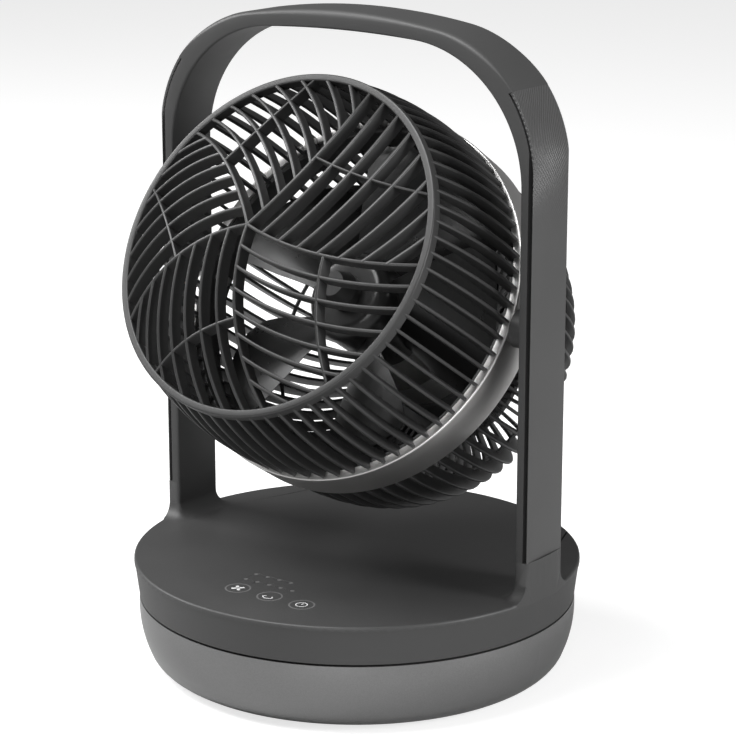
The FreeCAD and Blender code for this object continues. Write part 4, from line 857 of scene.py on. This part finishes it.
front_ring = turned([
    (ring_inner, ring_face - 0.006, 0.0004), (ring_outer, ring_face - 0.006, 0.0004),
    (ring_outer, ring_face, 0.0011), (ring_inner, ring_face, 0.0011),
], 240, 5)
front_lip = turned([
    (0.0955, -0.003, 0.0002), (0.1008, -0.003, 0.0002), (0.1008, lip_top, 0.0003), (0.0955, lip_top, 0.0005),
], 200)
def join(name, *meshes):
    """One mesh from several, in the order given."""
    work = bmesh.new()
    for part in meshes:
        work.from_mesh(part)
    mesh = bpy.data.meshes.new(name)
    work.to_mesh(mesh)
    work.free()
    return mesh


mesh = join("front_guard", swirl, side_bars, front_ring, front_lip)
mesh.transform(head_place)
soften(mesh, 45)
put_up("front_guard", mesh, grille_plastic, "head", "grille_dark", "front_grille")

# ---------------------------------------------------------------- rear grille
# Rear half of the ball in the same dark moulding: seventy bars that round in to the motor's plate,
# tied by an inner hoop.
rear_start, rear_end, plate_radius = -0.0142, -0.106, 0.044


def rear_line(inset, steps=20):
    """Rounded rear outline from the band to the flat back, set in by an amount."""
    wide = 0.1013 - inset
    flat = plate_radius - 0.004
    depth = -rear_end + rear_start - inset
    line = []
    for step in range(steps + 1):
        share = math.sin(math.pi / 2 * step / steps)
        swell = (1 - share ** 2.73) ** (1 / 2.73)
        line.append((flat + (wide - flat) * swell, rear_start - depth * share))
    return line


work = bmesh.new()
outer_line, inner_line = rear_line(0.0), rear_line(0.0075)
rows = []
half_bar, ease = 0.00085, 0.0006
for (r, h), (ri, hi) in zip([(0.1007, -0.0050)] + outer_line, [(0.0963, -0.0050)] + inner_line):
    outer_spot, inner_spot = Vector((r, 0, h)), Vector((ri, 0, hi))
    inward = (inner_spot - outer_spot).normalized()
    side = Vector((0, 1, 0))
    row = [inner_spot - side * half_bar]
    for step in range(4):
        angle = math.radians(180 - 30 * step)
        row.append(outer_spot + side * (-half_bar + ease + ease * math.cos(angle))
                   + inward * (ease - ease * math.sin(angle)))
    row += [Vector((p.x, -p.y, p.z)) for p in reversed(row)]
    rows.append([work.verts.new(p) for p in row])
for first, second in zip(rows, rows[1:]):
    for index in range(len(first)):
        after = (index + 1) % len(first)
        work.faces.new((first[index], first[after], second[after], second[index]))
work.faces.new(rows[0])
work.faces.new(rows[-1][::-1])
rear_bars = copied(mesh_from(work), bar_count, grille_plastic)
rear_ring = turned([
    (plate_radius, rear_end, 0.0004), (plate_radius + 0.004, rear_end + 0.0004, 0.0014),
    (plate_radius + 0.004, rear_end + 0.005, 0.0004), (plate_radius, rear_end + 0.005, 0.0004),
], 160)
rear_lip = turned([
    (0.0955, -0.0122, 0.0003), (0.1008, -0.0122, 0.0003), (0.1008, -0.003, 0.0002), (0.0955, -0.003, 0.0002),
], 200)
hoop_share = (0.066 + rear_start) / (-rear_end + rear_start)
hoop_swell = (1 - hoop_share ** 2.73) ** (1 / 2.73)
hoop_radius = plate_radius - 0.004 + (0.1013 - plate_radius + 0.004) * hoop_swell - 0.0075 + 0.0008
inner_hoop = turned([
    (hoop_radius - 0.0014, -0.0672, 0.0004), (hoop_radius, -0.0672, 0.0004),
    (hoop_radius, -0.0648, 0.0004), (hoop_radius - 0.0014, -0.0648, 0.0004),
], 200)
mesh = join("rear_guard", rear_bars, rear_ring, rear_lip, inner_hoop)
mesh.transform(head_place)
soften(mesh, 45)
put_up("rear_guard", mesh, grille_plastic, "head", "grille_dark", "rear_grille")
paint_node("motor_mount", grille_plastic)

# ---------------------------------------------------------------- blades
# Five broad twisted blades and their hub, moulded in one from glossy near-black plastic. A dark nut
# holds them on the shaft.
blade_gloss = moulding("blade_dark_gloss", 0.007, 0.30, 0.004, 0.00001)
paint_node("blade_nut", moulding("nut_dark", 0.014, 0.45, 0.0006, 0.00001))
hub_radius, tip_radius, blade_centre = 0.025, 0.0868, -0.012
spans = ((0.0235, 0.040, 50, 0.0030), (0.0498, 0.064, 38, 0.0045), (0.0715, 0.082, 31, 0.0050),
         (0.0910, 0.092, 27, 0.0050))


def blade_at(radius):
    """Chord, pitch and camber of a blade at one radius."""
    for low, high in zip(spans, spans[1:]):
        if radius <= high[0]:
            share = (radius - low[0]) / (high[0] - low[0])
            return [a + (b - a) * share for a, b in zip(low[1:], high[1:])]
    return list(spans[-1][1:])


rings = []
for step in range(19):
    radius = hub_radius - 0.001 + (tip_radius - hub_radius + 0.001) * step / 18
    chord, pitch, camber = blade_at(radius)
    near_tip = max(0.0, (radius - 0.078) / (tip_radius - 0.078))
    half = chord / 2 * (1 - 0.10 * near_tip ** 3)
    turn = math.radians(pitch)
    ring = []
    for skin in (1, -1):
        for slot in range(13):
            share = (slot - 6) / 6 * skin
            bow = camber * (1 - share * share)
            thick = 0.0011 * math.sqrt(max(0.0, 1 - share ** 4)) + 0.00015
            rise = bow + thick * skin
            along = half * share
            across = along * math.cos(turn) - rise * math.sin(turn)
            axial = along * math.sin(turn) + rise * math.cos(turn) + blade_centre
            ring.append((math.sqrt(radius ** 2 - across ** 2), across, axial))
    rings.append(ring)
blades = copied(skin_over(rings), 5, blade_gloss)
hub = turned([
    (0.004, 0.010, 0.0002), (0.004, 0.012, 0.0006), (0.020, 0.012, 0.002), (0.025, 0.007, 0.003),
    (0.025, -0.036, 0.0006), (0.023, -0.036, 0.0004), (0.023, 0.008, 0.002),
], 96)
mesh = join("blades", blades, hub)
mesh.transform(head_place)
soften(mesh, 45)
put_up("blades", mesh, blade_gloss, "rotor", "blade_dark", "fan_blades")
